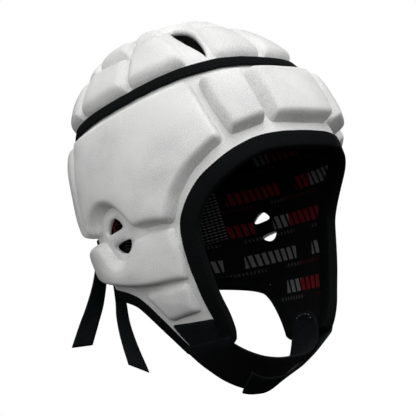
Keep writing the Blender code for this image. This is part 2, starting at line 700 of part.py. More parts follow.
def hinge(name, place_at):
    """An empty on a joint's axis, for the pieces that swing about it."""
    pivot = bpy.data.objects.new(name, None)
    PARTS.objects.link(pivot)
    pivot.parent = rake
    pivot.location = place_at
    return pivot


def strap_pivot(side):
    """The strap's fold: the middle of the flap's tip, on the strap's outer face."""
    middle = side * sum(STRAP_FOOT_DEGREES) / 2
    return flap_tip(middle, STRAP_SEW_GAP / 2, STRAP_OFFSET + STRAP_THICKNESS / 2)


loop_rows = strap_rows(-1, (LOOP_FRONT_MIDDLE_SHARE, LOOP_REAR_MIDDLE_SHARE), LOOP_POWERS, 0)
far_edges = [[strap_place(0, *middle)] + [strap_place(*pair[k]) for pair in LOOP_FAR_SHARES]
             for k, middle in enumerate((LOOP_FRONT_MIDDLE_SHARE, LOOP_REAR_MIDDLE_SHARE))]
for front, rear in list(zip(*[smooth_line(edge, 2) for edge in far_edges]))[1:]:
    loop_rows.append([front.lerp(rear, s) for s in np.linspace(0, 1, STRAP_COLUMNS + 1)])
loop_pivot = strap_pivot(-1)
ribbon("loop_strap", loop_rows, STRAP_THICKNESS, BLACK_LOOP, hinge("loop_hinge", loop_pivot),
       loop_pivot)

hook_pivot = strap_pivot(1)
hook_hinge = hinge("hook_hinge", hook_pivot)
hook_middles = (HOOK_FRONT_MIDDLE_SHARE, HOOK_REAR_MIDDLE_SHARE)
ribbon("hook_strap", strap_rows(1, hook_middles, HOOK_POWERS, HOOK_END_SHARE),
       STRAP_THICKNESS, BLACK_TAPE, hook_hinge, hook_pivot)
tape_rise = STRAP_THICKNESS / 2 + FIT_GAP + HOOK_TAPE_THICKNESS / 2
tape_rows = strap_rows(1, hook_middles, HOOK_POWERS, HOOK_TAPE_SHARES[0], HOOK_TAPE_ACROSS_SHARES,
                       HOOK_TAPE_SHARES[1])
ribbon("hook_tape", raised(tape_rows[::2], tape_rise), HOOK_TAPE_THICKNESS, BLACK_HOOK,
       hook_hinge, hook_pivot)


# Nape: two tapes cross the rear slit, sewn on the left, each through a keeper on the right
TAPE_SEWN_DEGREES = 167
KEEPER_DEGREES = {"upper": 213, "lower": 203}
LOWER_TAPE_LEVEL = -0.1130 * CROWN_LEVEL + NAPE_TAPE_WIDTH / 2
TAPE_SPACING = NAPE_TAPE_WIDTH + KEEPER_MARGIN + 2 * FIT_GAP
TAPE_LEVELS = {"lower": LOWER_TAPE_LEVEL, "upper": LOWER_TAPE_LEVEL + TAPE_SPACING}
TAIL_COLUMNS = 2
TAIL_STEPS = 3


def nape_line(start, end, level):
    ends = [Vector((math.radians(degrees) * HALF_WIDTH, level)) for degrees in (start, end)]
    return even_line(ends, TAPE_STEP)


def half_keeper_degrees():
    return math.degrees(KEEPER_WIDTH / 2 / HALF_WIDTH)


def nape_tape(name, level, end_degrees):
    half = NAPE_TAPE_WIDTH / 2
    top = PAD_OFFSET + NAPE_TAPE_THICKNESS
    section = [(-half, PAD_OFFSET), (-half, top), (half, top), (half, PAD_OFFSET)]
    swept(name, nape_line(TAPE_SEWN_DEGREES, end_degrees, level), section, BLACK_TAPE)


def keeper(name, level, degrees):
    """A webbing loop, sewn to the shell over and under the tape that it holds."""
    half = NAPE_TAPE_WIDTH / 2 + FIT_GAP
    outside = half + KEEPER_THICKNESS
    foot = half + KEEPER_MARGIN
    under = PAD_OFFSET + NAPE_TAPE_THICKNESS + PAD_GAP
    over = under + KEEPER_THICKNESS
    step = PAD_OFFSET + KEEPER_THICKNESS
    upper_half = [(half, under), (half, PAD_OFFSET), (foot, PAD_OFFSET), (foot, step),
                  (outside, step), (outside, over)]
    section = upper_half + [(-x, y) for x, y in upper_half[::-1]]
    half_width = half_keeper_degrees()
    line = nape_line(degrees - half_width, degrees + half_width, level)
    swept(name, line, section, BLACK_TAPE)


for name, degrees in KEEPER_DEGREES.items():
    nape_tape("adjust_tape_" + name, TAPE_LEVELS[name], degrees + half_keeper_degrees())
    keeper("keeper_" + name, TAPE_LEVELS[name], degrees)

# Tape tails: each hangs from its keeper's outer face. The middle line is given as steps from
# that root, in shares of the crown level, with the tape's own turn about its run in degrees.
TAIL_LINE_SHARES = {"upper": [((-0.010, 0.050, -0.140), 25), ((-0.010, 0.135, -0.255), 48),
                              ((-0.010, 0.225, -0.345), 66), ((-0.010, 0.325, -0.445), 78)],
                    "lower": [((0.003, 0.025, -0.158), 10), ((0.003, 0.047, -0.258), 30),
                              ((0.003, 0.051, -0.396), 52), ((0.003, 0.037, -0.539), 68)]}


def tail_rows(root, along_keeper, line_shares):
    """Rows of a tail: its width lies along the keeper at the root and turns as it falls."""
    stations = [(root, 0.0)]
    stations += [(root + Vector(step) * CROWN_LEVEL, turn) for step, turn in line_shares]
    places = smooth_line([point for point, turn in stations], TAIL_STEPS)
    turns = np.interp(np.linspace(0, len(stations) - 1, len(places)), range(len(stations)),
                      [turn for point, turn in stations])
    rows = []
    for k, (point, turn) in enumerate(zip(places, turns)):
        width = NAPE_TAPE_WIDTH + (TAIL_WIDTH - NAPE_TAPE_WIDTH) * k / (len(places) - 1)
        across = Matrix.Rotation(-math.radians(turn), 3, "Z") @ along_keeper * width
        rows.append([point + across * share for share in np.linspace(-0.5, 0.5, TAIL_COLUMNS + 1)])
    return rows


def tail(name):
    root_offset = PAD_OFFSET + NAPE_TAPE_THICKNESS + PAD_GAP + KEEPER_THICKNESS
    root_offset += TAIL_GAP + NAPE_TAPE_THICKNESS / 2
    reach = math.radians(KEEPER_DEGREES[name]) * HALF_WIDTH
    flat = np.array([[reach + step, TAPE_LEVELS[name], root_offset]
                     for step in (-KEEPER_WIDTH / 2, 0, KEEPER_WIDTH / 2)])
    ends = [Vector(point) for point in wrap_map(flat)]
    root = ends[1]
    rows = tail_rows(root, (ends[0] - ends[2]).normalized(), TAIL_LINE_SHARES[name])
    ribbon("tape_tail_" + name, rows, NAPE_TAPE_THICKNESS, BLACK_TAPE,
           hinge("tail_hinge_" + name, root), root)


tail("upper")
tail("lower")
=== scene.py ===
import math
import bpy
import numpy as np
from mathutils import Matrix, Vector, noise
from mathutils.geometry import delaunay_2d_cdt


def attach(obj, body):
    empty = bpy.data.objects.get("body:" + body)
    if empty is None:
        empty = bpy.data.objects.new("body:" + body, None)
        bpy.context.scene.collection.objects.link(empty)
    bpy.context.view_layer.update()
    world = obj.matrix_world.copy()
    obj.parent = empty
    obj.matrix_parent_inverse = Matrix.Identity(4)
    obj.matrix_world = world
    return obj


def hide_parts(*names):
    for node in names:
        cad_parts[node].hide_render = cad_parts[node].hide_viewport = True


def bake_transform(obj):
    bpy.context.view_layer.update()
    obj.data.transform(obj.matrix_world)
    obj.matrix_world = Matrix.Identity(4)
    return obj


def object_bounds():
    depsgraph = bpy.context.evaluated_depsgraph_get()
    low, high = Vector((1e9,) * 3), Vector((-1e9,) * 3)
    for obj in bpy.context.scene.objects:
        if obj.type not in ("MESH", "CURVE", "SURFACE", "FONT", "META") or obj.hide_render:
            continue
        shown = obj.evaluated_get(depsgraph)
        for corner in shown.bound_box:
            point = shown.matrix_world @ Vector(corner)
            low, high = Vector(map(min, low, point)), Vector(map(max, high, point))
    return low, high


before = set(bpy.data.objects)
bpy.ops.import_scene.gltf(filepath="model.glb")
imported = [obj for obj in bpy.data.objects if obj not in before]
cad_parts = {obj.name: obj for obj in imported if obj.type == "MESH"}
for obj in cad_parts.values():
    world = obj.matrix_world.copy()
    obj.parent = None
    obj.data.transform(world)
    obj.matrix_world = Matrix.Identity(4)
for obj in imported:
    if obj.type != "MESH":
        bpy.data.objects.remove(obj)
cad_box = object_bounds()

# Wrap lining: one panel of black warp-knit polyester that lies against the head.
# It is cut flat with the ear vents and the nape's slit in it and printed with a small pattern;
# the whole headgear is patterned on the same head form, drawn level with its seams.
HALF_WIDTH = 0.0785
FRONT_REACH = 0.093
BACK_REACH = 0.075
CROWN_LEVEL = 0.130
WIDEST_LEVEL = 0.009
CHIN_LEVEL = -0.095
FORM_CENTRE_Y = -0.0095
SECTION_POWER = 2.45
BROW_POWER = 0.40
BROW_LEVEL = 0.082
BROW_REACH = 0.024
CROWN_POWER = 0.816
CROWN_FRONT_SLOPE = 0.13
CROWN_BACK_SLOPE = -0.13
WIDTH_TAPER = 0.376
FRONT_TAPER = 0.129
BACK_TAPER = 0.053
RAKE = math.radians(11)
MM = 0.001
LINING_THICKNESS = 0.0014
LINING_CELL = 0.0045
SEAM_LEVEL = 0.084
SEAM_GAP = 0.0010
REAR_SLIT_WIDTH = 0.0080
FACE_EDGE = [(0, 19), (10, 19.1), (24, 18.9), (32, 16.3), (39, 12.4), (47, 6.5), (53, 0),
             (58, -7.8), (61.5, -16.9), (63, -31.2), (63.5, -46.8), (63.5, -62.4),
             (62.5, -75.4), (63, -85.8), (65, -91)]
HEM_EDGE = [(104, -86.5), (108, -69.5), (113.5, -51), (119, -42.7), (131, -35),
            (145, -29.5), (162, -26), (180, -25.4)]
EAR_VENT_CORNERS = ((103, 12), (104, -4.2))
LINING_VENT_SHARE = 0.76
EAR_VENTS = ([(99.5, 4.4), (100.5, 8), (103, 12.2), (106, 13.8), (109.3, 12), (112.8, 7.8),
              (113.3, 5.2), (111, 3.6), (105.5, 3.4), (101.5, 3.5)],
             [(97.2, -4.8), (102, -4), (107.5, -4), (110.5, -4.8), (109.5, -7.8), (107, -11),
              (103.5, -13.2), (100.5, -12.2), (98, -8.7)])
VENT_CORNER = 0.002
VENT_STEP = 0.0011
EDGE_STEP = 0.0022
TRIANGLE_ROWS = 0.87
EDGE_CLEARANCE = 0.5
BLACK_KNIT = "#0A0B0D"
PRINT_ABOVE_MM = -65.0
MESH_FROM_MM = 172.6
MESH_ABOVE_MM = 3.0
MESH_GREY = "#6E7272"
PRINT_GREY = "#8C8D90"
PRINT_RED = "#8E1B24"
PRINT_TILT = math.radians(-9)
PRINT_LINE_MM = 25.0
PRINT_STAGGER_MM = 27.0
PRINT_COLOUR_MM = 31.0
GREY_CHANCE = 0.5
BAR_SLANT = -0.3
DOT_STRENGTH = 0.3
# How much of the print shows, by the knit's relief: 0.5 in a groove, 0.85 on a ridge
PRINT_KNIT_SHARE = (0.35, 0.5)
# Bands of the print and the mesh: the pitch in millimetres, the share that shows, the shift
BARS, DOTS = (5.6, 0.66), (3.1, 0.5)
BAR_LINES, DOT_LINES = (PRINT_LINE_MM, 0.38), (PRINT_LINE_MM, 0.10, 0.22)
BAR_GROUPS = (62.0, 0.74)
MESH_ROWS, MESH_COLUMNS = (2.4, 0.42), (3.4, 0.74)

rake_turn = Matrix.Rotation(-RAKE, 3, "X")
rake_move = -(rake_turn @ Vector((0, FORM_CENTRE_Y, CROWN_LEVEL)))


def raked(points):
    """Points of the level form, in the place where the head wears it."""
    return points @ np.array(rake_turn).T + np.array(rake_move)


def form_point(angle, latitude, level):
    """A point of the head form; latitude counts above the widest level, level below it."""
    rise = np.maximum(np.sin(latitude), 0)
    drawn = np.maximum(np.cos(latitude), 0) ** CROWN_POWER
    drop = np.clip((WIDEST_LEVEL - level) / (WIDEST_LEVEL - CHIN_LEVEL), 0, None) ** 2
    across = HALF_WIDTH * drawn * (1 - WIDTH_TAPER * drop)
    front = FRONT_REACH * drawn * (1 - CROWN_FRONT_SLOPE * rise) * (1 - FRONT_TAPER * drop)
    back = BACK_REACH * drawn * (1 - CROWN_BACK_SLOPE * rise) * (1 - BACK_TAPER * drop)
    along = np.where(np.cos(angle) > 0, front, back)
    height = WIDEST_LEVEL + (CROWN_LEVEL - WIDEST_LEVEL) * rise ** CROWN_POWER
    height = np.where(latitude > 0, height, level)
    brow = np.clip(np.cos(angle), 0, 1) * np.exp(-((height - BROW_LEVEL) / BROW_REACH) ** 2)
    power = SECTION_POWER + BROW_POWER * brow
    side_share = np.abs(np.sin(angle) / across) ** power
    end_share = np.abs(np.cos(angle) / along) ** power
    radius = (side_share + end_share) ** (-1 / power)
    return np.stack([radius * np.sin(angle), FORM_CENTRE_Y - radius * np.cos(angle), height], -1)


def unit(vectors):
    """The same vectors, each one unit long."""
    return vectors / np.linalg.norm(vectors, axis=-1, keepdims=True)


def offset_point(angle, latitude, level, offset):
    """The point of the form, moved out along the form's normal."""
    turn = math.radians(0.4)
    highest, lowest = math.radians(89.9), math.radians(0.01)
    step = turn * HALF_WIDTH
    above = latitude > 0
    near = form_point(angle, latitude, level)
    around = form_point(angle + turn, latitude, level) - form_point(angle - turn, latitude, level)
    high = np.where(above, np.minimum(latitude + turn, highest), latitude)
    low = np.where(above, np.maximum(latitude - turn, lowest), latitude)
    up = form_point(angle, high, level + step) - form_point(angle, low, level - step)
    return near + unit(np.cross(around, up)) * np.asarray(offset)[..., None]


def latitude_at(level):
    """The form's latitude at a level, which is 0 below its widest level."""
    climb = np.clip((level - WIDEST_LEVEL) / (CROWN_LEVEL - WIDEST_LEVEL), 0, 0.9999)
    return np.arcsin(climb ** (1 / CROWN_POWER))


def level_map(flat):
    """Wrap pattern to level form: x is the arc at the widest level, y the level, z the offset."""
    level = np.minimum(flat[:, 1], WIDEST_LEVEL)
    return offset_point(flat[:, 0] / HALF_WIDTH, latitude_at(flat[:, 1]), level, flat[:, 2])


def wrap_map(flat):
    """Wrap pattern to head, in the place where it is worn."""
    return raked(level_map(flat))


def wrap_flat(points, side=1):
    """Wrap pattern points from degrees round the head and a level in millimetres."""
    return np.array([(side * math.radians(degrees) * HALF_WIDTH, level * MM)
                     for degrees, level in points])


def smooth_line(points, steps=6):
    """A Catmull-Rom curve through the points, from the first to the last."""
    given = np.asarray(points, float)
    given = np.vstack([given[:1] * 2 - given[1:2], given, given[-1:] * 2 - given[-2:-1]])
    line = []
    for before, start, end, after in zip(given, given[1:], given[2:], given[3:]):
        for t in np.arange(steps) / steps:
            bend = (3 * start - before - 3 * end + after) * t ** 3
            bend = bend + (2 * before - 5 * start + 4 * end - after) * t ** 2
            line.append((bend + (end - before) * t + 2 * start) / 2)
    line.append(given[-2])
    return np.array(line)


def distances(line):
    """How far along a line each of its points is."""
    return np.concatenate([[0], np.cumsum(np.linalg.norm(np.diff(line, axis=0), axis=1))])


def even_line(points, spacing, closed=False):
    """The same line with its points about one spacing apart."""
    points = np.asarray(points, float)
    if closed:
        points = np.vstack([points, points[:1]])
    lengths = distances(points)
    marks = np.linspace(0, lengths[-1], max(3, round(lengths[-1] / spacing)) + 1)
    line = np.stack([np.interp(marks, lengths, column) for column in points.T], -1)
    return line[:-1] if closed else line


def rounded(corners, radius, spacing):
    """A closed outline with each corner rounded off, its points evenly spaced."""
    corners = np.asarray(corners, float)
    line = []
    for before, corner, after in zip(np.roll(corners, 1, axis=0), corners,
                                     np.roll(corners, -1, axis=0)):
        ends = []
        for other in (before, after):
            reach = np.linalg.norm(other - corner)
            ends.append(corner + (other - corner) * min(radius / reach, 0.5))
        for t in (0, 0.25, 0.5, 0.75, 1):
            line.append(ends[0] * (1 - t) ** 2 + corner * 2 * t * (1 - t) + ends[1] * t ** 2)
    return even_line(line, spacing, closed=True)


def inside(points, outlines):
    """Which flat points lie inside the outline and outside its holes."""
    x, y = points[:, 0], points[:, 1]
    odd = np.zeros(len(points), bool)
    for outline in outlines:
        for (x0, y0), (x1, y1) in zip(outline, np.roll(outline, -1, axis=0)):
            if y0 != y1:
                odd ^= ((y0 > y) != (y1 > y)) & (x < x0 + (y - y0) * (x1 - x0) / (y1 - y0))
    return odd


def edge_gap(points, outline):
    """How far each point is from the nearest part of a closed line."""
    gap = np.full(len(points), np.inf)
    for start, end in zip(outline, np.roll(outline, -1, axis=0)):
        along = end - start
        share = np.clip((points - start) @ along / max(along @ along, 1e-18), 0, 1)
        gap = np.minimum(gap, np.linalg.norm(points - start - share[:, None] * along, axis=1))
    return gap


def triangle_sides(faces):
    """Every triangle's three sides, in the way that it runs round."""
    return np.vstack([faces[:, [0, 1]], faces[:, [1, 2]], faces[:, [2, 0]]])


def made_object(name, points, faces, pattern):
    """A smooth mesh object, with its flat pattern in millimetres as its UV layer."""
    mesh = bpy.data.meshes.new(name)
    mesh.from_pydata([tuple(point) for point in points], [], faces)
    corner = np.empty(len(mesh.loops), int)
    mesh.loops.foreach_get("vertex_index", corner)
    layer = mesh.uv_layers.new(name="pattern")
    layer.data.foreach_set("uv", (np.asarray(pattern)[corner] / MM).astype(np.float32).ravel())
    mesh.validate()
    mesh.shade_smooth()
    piece = bpy.data.objects.new(name, mesh)
    bpy.context.scene.collection.objects.link(piece)
    return piece


def cut_panel(name, outlines, cell, offsets, mapping=wrap_map):
    """A closed panel cut to its outlines. offsets gives its inner and outer face from its flat
    points, its triangles, and their distances over the head from each outline."""
    def placed(flat, offset=0.0):
        return mapping(np.column_stack([flat, np.broadcast_to(offset, len(flat))]))

    low, high = outlines[0].min(axis=0), outlines[0].max(axis=0)
    across = np.arange(low[0], high[0], cell)
    grid = np.array([(x + cell / 2 * (row % 2), y) for row, y in
                     enumerate(np.arange(low[1], high[1], cell * TRIANGLE_ROWS)) for x in across])
    grid = grid[inside(grid, outlines)]
    clear = np.min([edge_gap(grid, outline) for outline in outlines], axis=0)
    flat = np.vstack([*outlines, grid[clear > cell * EDGE_CLEARANCE]])
    edges, first = [], 0
    for outline in outlines:
        count = len(outline)
        edges += [(first + k, first + (k + 1) % count) for k in range(count)]
        first += count
    cut = delaunay_2d_cdt([Vector(point) for point in flat], edges, [], 0, 1e-9)
    flat = np.array([corner[:] for corner in cut[0]])
    faces = np.array([face[:] for face in cut[2]])
    faces = faces[inside(flat[faces].mean(axis=1), outlines)]
    used = np.unique(faces)
    faces = np.searchsorted(used, faces)
    flat = flat[used]
    gaps = [edge_gap(placed(flat), placed(outline)) for outline in outlines]
    inner, outer = offsets(flat, faces, gaps)
    points = np.vstack([placed(flat, inner), placed(flat, outer)])
    count = len(flat)
    sides = triangle_sides(faces)
    known = {tuple(side) for side in sides}
    rim = [side for side in map(tuple, sides) if side[::-1] not in known]
    shell = [tuple(face[::-1]) for face in faces.tolist()]
    shell += [tuple(corner + count for corner in face) for face in faces.tolist()]
    shell += [(int(a), int(b), int(b) + count, int(a) + count) for a, b in rim]
    return made_object(name, points, shell, np.vstack([flat, flat]))


def linear(colour):
    """An sRGB hex colour as linear red, green, blue and alpha."""
    parts = [int(colour[k:k + 2], 16) / 255 for k in (1, 3, 5)]
    return (*[part / 12.92 if part <= 0.04045 else ((part + 0.055) / 1.055) ** 2.4
              for part in parts], 1.0)


def add(tree, kind, settings=None, links=None):
    """Adds a node of that kind with its settings, fed from the given sockets."""
    node = tree.nodes.new("ShaderNode" + kind)
    for key, value in (settings or {}).items():
        if isinstance(key, int) or key in node.inputs:
            node.inputs[key].default_value = value
        else:
            setattr(node, key, value)
    for key, source in (links or {}).items():
        tree.links.new(source, node.inputs[key])
    return node


def fabric(name, colour, roughness, sheen=0.0, sheen_roughness=0.5, shine=0.08):
    """A bare dyed cloth: its material, its node tree, its shader and its pattern in mm."""
    made = bpy.data.materials.new(name)
    made.use_nodes = True
    tree = made.node_tree
    shader = tree.nodes["Principled BSDF"]
    for socket, value in (("Base Color", linear(colour)), ("Roughness", roughness),
                          ("Metallic", 0.0), ("IOR", 1.5), ("Specular IOR Level", shine),
                          ("Sheen Weight", sheen), ("Sheen Roughness", sheen_roughness)):
        shader.inputs[socket].default_value = value
    return made, tree, shader, add(tree, "UVMap", {"uv_map": "pattern"}).outputs["UV"]


def ridges(tree, place, pitch_mm, turn_degrees=0.0):
    """Even ridges at a real pitch across the pattern, from 0 in a groove to 1 on a ridge.

    At scale 1 the wave texture repeats every pi / 10.
    """
    turned = add(tree, "Mapping", {"Rotation": (0, 0, math.radians(turn_degrees))},
                 {"Vector": place}).outputs["Vector"]
    return add(tree, "TexWave", {"Scale": math.pi / 10 / pitch_mm},
               {"Vector": turned}).outputs["Fac"]


def overlap(tree, shown, *masks):
    """What is left of a shade where every mask is 1."""
    for mask in masks:
        shown = add(tree, "Math", {"operation": "MULTIPLY"}, {0: shown, 1: mask}).outputs[0]
    return shown


def layered(tree, base, *layers):
    """A shade with its share of each other one laid over it."""
    for layer, share in layers:
        base = add(tree, "Math", {"operation": "MULTIPLY_ADD", 1: share},
                   {0: layer, 2: base}).outputs[0]
    return base


def threads(tree, shader, height=None, strength=1.0, depth=0.0003, invert=False, shade=None,
            tones=(), stops=(0.0, 1.0)):
    """A cloth's threads: their relief by height, and their tones by shade from low to high; where
    shade follows the relief, the low tone is painted shade and the high tone a painted highlight.
    """
    if height:
        bump = add(tree, "Bump", {"Strength": strength, "Distance": depth, "invert": invert},
                   {"Height": height})
        tree.links.new(bump.outputs["Normal"], shader.inputs["Normal"])
    if tones:
        ramp = add(tree, "ValToRGB", links={"Fac": shade})
        for stop, position, tone in zip(ramp.color_ramp.elements, stops, tones):
            stop.position = position
            stop.color = linear(tone)
        tree.links.new(ramp.outputs["Color"], shader.inputs["Base Color"])


def warp_knit(name):
    """Black warp knit: a matt polyester whose fine wales, 1.2 mm apart, hardly catch light."""
    made, tree, shader, place = fabric(name, BLACK_KNIT, roughness=0.72, sheen=0.03)
    wales = ridges(tree, place, pitch_mm=1.2)
    rows = ridges(tree, place, pitch_mm=0.9, turn_degrees=90)
    knit = overlap(tree, wales, rows)
    threads(tree, shader, knit, strength=0.35)
    return made, tree, shader, place, knit


def printed_knit():
    """The knit of the wrap, printed with short slanted bars in grey and dull red.

    Over the back of the head it is a ladder mesh of grey strands instead.
    """
    made, tree, shader, place, knit = warp_knit("black_printed_knit")

    def banded(value, pitch, share, shift=0.0):
        """1 inside a band of that share of the pitch, else 0."""
        turned = add(tree, "Math", {"operation": "MULTIPLY_ADD", 1: 1 / pitch, 2: shift},
                     {0: value}).outputs[0]
        part = add(tree, "Math", {"operation": "FRACT"}, {0: turned}).outputs[0]
        return add(tree, "Math", {"operation": "LESS_THAN", 1: share}, {0: part}).outputs[0]

    def counted(value, pitch):
        """The number of the pitch that a place is in."""
        turned = add(tree, "Math", {"operation": "MULTIPLY", 1: 1 / pitch}, {0: value}).outputs[0]
        return add(tree, "Math", {"operation": "FLOOR"}, {0: turned}).outputs[0]

    tilted = add(tree, "Mapping", {"Rotation": (0, 0, PRINT_TILT)}, {"Vector": place}).outputs[0]
    (x, y), (across, up) = [add(tree, "SeparateXYZ", links={"Vector": axes}).outputs[:2]
                            for axes in (place, tilted)]
    slanted = layered(tree, across, (up, BAR_SLANT))
    row = counted(up, PRINT_LINE_MM)
    along = layered(tree, across, (row, PRINT_STAGGER_MM))
    cell = add(tree, "CombineXYZ", links={"X": counted(along, PRINT_COLOUR_MM), "Y": row})
    chance = add(tree, "TexWhiteNoise", {"noise_dimensions": "2D"},
                 {"Vector": cell.outputs[0]}).outputs["Value"]
    span = add(tree, "Math", {"operation": "ABSOLUTE"}, {0: x}).outputs[0]
    red, printed, rear, high = [
        add(tree, "Math", {"operation": "GREATER_THAN", 1: limit}, {0: value}).outputs[0]
        for value, limit in ((chance, GREY_CHANCE), (y, PRINT_ABOVE_MM), (span, MESH_FROM_MM),
                             (y, MESH_ABOVE_MM))]
    bold = overlap(tree, banded(slanted, *BARS), banded(up, *BAR_LINES))
    dots = overlap(tree, banded(slanted, *DOTS), banded(up, *DOT_LINES))
    fine = add(tree, "Math", {"operation": "MULTIPLY", 1: DOT_STRENGTH}, {0: dots}).outputs[0]
    inked = add(tree, "Math", {"operation": "MAXIMUM"}, {0: bold, 1: fine}).outputs[0]
    # The print covers less in the knit's grooves than on its ridges, so the grooves are darker
    knit_share = add(tree, "Math", {"operation": "MULTIPLY_ADD", 1: PRINT_KNIT_SHARE[0], 2: PRINT_KNIT_SHARE[1]},
               {0: knit}).outputs[0]
    cover = overlap(tree, inked, banded(along, *BAR_GROUPS), printed, knit_share)
    ink = add(tree, "MixRGB", {1: linear(PRINT_GREY), 2: linear(PRINT_RED)}, {0: red}).outputs[0]
    cloth = add(tree, "MixRGB", {1: linear(BLACK_KNIT)}, {0: cover, 2: ink}).outputs[0]
    strands = overlap(tree, banded(y, *MESH_ROWS), banded(x, *MESH_COLUMNS))
    mesh = add(tree, "MixRGB", {1: linear(BLACK_KNIT), 2: linear(MESH_GREY)},
               {0: strands}).outputs[0]
    cloth = add(tree, "MixRGB", links={0: overlap(tree, rear, high), 1: cloth, 2: mesh}).outputs[0]
    tree.links.new(cloth, shader.inputs["Base Color"])
    return made


def finished(piece, material, slot, body, *nodes):
    """Gives a piece its cloth and its body, and puts it in place of its solids; its slot is not
    used.
    """
    piece.data.materials.append(material)
    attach(piece, body)
    if nodes:
        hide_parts(*nodes)


face_edge = even_line(smooth_line(wrap_flat(FACE_EDGE)), EDGE_STEP)
hem_edge = even_line(smooth_line(wrap_flat(HEM_EDGE)), EDGE_STEP)


def wrap_outline():
    """The whole wrap as one flat outline, its two ends parted by the nape's slit."""
    rear = math.pi * HALF_WIDTH - REAR_SLIT_WIDTH / 2
    top = SEAM_LEVEL - SEAM_GAP / 2
    lower = hem_edge[hem_edge[:, 0] < rear - EDGE_STEP / 2]
    half = np.vstack([face_edge[1:], lower, [(rear, hem_edge[-1][1])], [(rear, top)]])
    other = half[::-1] * (-1, 1)
    return even_line(np.vstack([half, other, face_edge[:1]]), EDGE_STEP, closed=True)


def ear_vents(share=1.0):
    """The ear vents of both sides, or that share of each about its own top corner."""
    vents = []
    for vent, corner in zip(EAR_VENTS, EAR_VENT_CORNERS):
        outline = np.array(corner) + (np.array(vent) - corner) * share
        vents += [rounded(wrap_flat(outline, side), VENT_CORNER * share, VENT_STEP)
                  for side in (1, -1)]
    return vents


def even_sheet(inner, thickness):
    """The offsets of a sheet of one thickness."""
    return lambda flat, faces, gaps: (np.full(len(flat), inner),
                                      np.full(len(flat), inner + thickness))


wrap_lining = cut_panel("wrap_lining_knit", [wrap_outline()] + ear_vents(LINING_VENT_SHARE),
                        LINING_CELL, even_sheet(0, LINING_THICKNESS))
finished(wrap_lining, printed_knit(), "black_lining_knit", "shell", "wrap_lining")

# Wrap shell: white polyester twill laminated to thin foam and pressed over the form.
# It is slit at the nape, and each ear vent is punched through it, its edge pressed to a
# raised lip; the foam pads stand on it.
SHELL_OUTER = 0.0048
SHELL_THICKNESS = 0.0032
SHELL_CELL = 0.0035
SEAM_SWELL = 0.0034
SEAM_SWELL_WIDTH = 0.013
EAR_SWELL = 0.0028
EAR_CENTRE = (107, -2)
EAR_SWELL_REACH = 0.016
VENT_LIP_RISE = 0.0007
VENT_LIP_WIDTH = 0.0010
WHITE_TWILL = "#EDEDEC"
# Low tone of the twill: its random grey tone, and the painted shade in the wales' grooves
TWILL_TONE_AND_GROOVE_SHADE = "#CDCDCD"


def white_twill():
    """Polyester twill: matt white, diagonal wales 1.0 mm apart, their grooves painted a little grey
    as painted shade so that they show.

    Its fibres' grain, 0.7 mm across, and large faint patches soften the wales.
    """
    made, tree, shader, place = fabric("white_laminated_twill", WHITE_TWILL, roughness=0.78,
                                       sheen=0.12)
    wales = ridges(tree, place, pitch_mm=1.0, turn_degrees=35)
    weft = ridges(tree, place, pitch_mm=0.8, turn_degrees=-50)
    grain = add(tree, "TexNoise", {"Scale": 1.4, "Detail": 2.0}, {"Vector": place}).outputs["Fac"]
    patches = add(tree, "TexNoise", {"Scale": 0.03, "Detail": 4.0},
                  {"Vector": place}).outputs["Fac"]
    height = layered(tree, wales, (weft, 0.6), (grain, 1.6))
    # Grain and patches vary the tone at random; the wales' share is painted shade in their grooves
    shade = layered(tree, patches, (grain, 1.1), (wales, 0.12))
    shade = add(tree, "MapRange", {"From Min": 0.75, "From Max": 1.2}, {"Value": shade}).outputs[0]
    threads(tree, shader, height, strength=0.25, depth=0.00022, shade=shade,
            tones=(TWILL_TONE_AND_GROOVE_SHADE, WHITE_TWILL))
    return made


def near_ear(flat):
    """1 at the middle of the ear vents, fading out round them."""
    ear = wrap_flat([EAR_CENTRE])[0]
    reach = np.hypot(np.abs(flat[:, 0]) - ear[0], flat[:, 1] - ear[1])
    return np.exp(-(reach / EAR_SWELL_REACH) ** 2)


def wrap_base(flat):
    """How far the wrap's face stands off the head: it swells at the seam and at the ears."""
    share = np.clip((flat[:, 1] - SEAM_LEVEL) / SEAM_SWELL_WIDTH + 1, 0, 1)
    return SHELL_OUTER + SEAM_SWELL * share ** 2 + EAR_SWELL * near_ear(flat)


def lipped_sheet(base):
    """The offsets of a shell with that base, and a pressed lip round every hole."""
    def offsets(flat, faces, gaps):
        lip = sum(VENT_LIP_RISE * np.exp(-(gap / VENT_LIP_WIDTH) ** 2) for gap in gaps[1:])
        return base(flat) - SHELL_THICKNESS, base(flat) + lip
    return offsets


twill = white_twill()
wrap_shell = cut_panel("wrap_shell_twill", [wrap_outline()] + ear_vents(), SHELL_CELL,
                       lipped_sheet(wrap_base))
finished(wrap_shell, twill, "white_laminated_knit", "shell", "wrap_shell")

# Crown: a round cap of the same twill over black knit, pressed over the form.
# Two leaf-shaped vents beside the front are cut through both, and the twill swells away from
# the head between the seam and the vents.
CROWN_VENT = [(34.3, 36.9), (37.4, 42.5), (40.6, 48.3), (43.4, 54.8), (45, 61), (43.6, 68),
              (40, 73), (34.5, 68.5), (31.2, 63.5), (31.3, 54), (32.6, 44)]
CROWN_VENT_STEP = 0.0012
CROWN_EDGE_SIDES = 90
CROWN_SHELL_CELL = 0.0025
CROWN_SWELL = 0.0050
CROWN_SWELL_WIDTH = 0.010


def crown_map(flat):
    """Crown pattern to head: the pattern is the dome seen from above, spread by latitude."""
    angle = np.arctan2(flat[:, 0], -flat[:, 1])
    from_top = np.hypot(flat[:, 0], flat[:, 1]) / HALF_WIDTH
    latitude = np.minimum(math.pi / 2 - from_top, math.radians(89.8))
    return raked(offset_point(angle, latitude, np.full(len(flat), WIDEST_LEVEL), flat[:, 2]))


def crown_flat(points, side=1):
    """Crown pattern points from degrees round the head and latitudes in degrees."""
    turns = np.radians([(side * degrees, 90 - latitude) for degrees, latitude in points])
    reach = turns[:, 1] * HALF_WIDTH
    return np.stack([reach * np.sin(turns[:, 0]), -reach * np.cos(turns[:, 0])], -1)


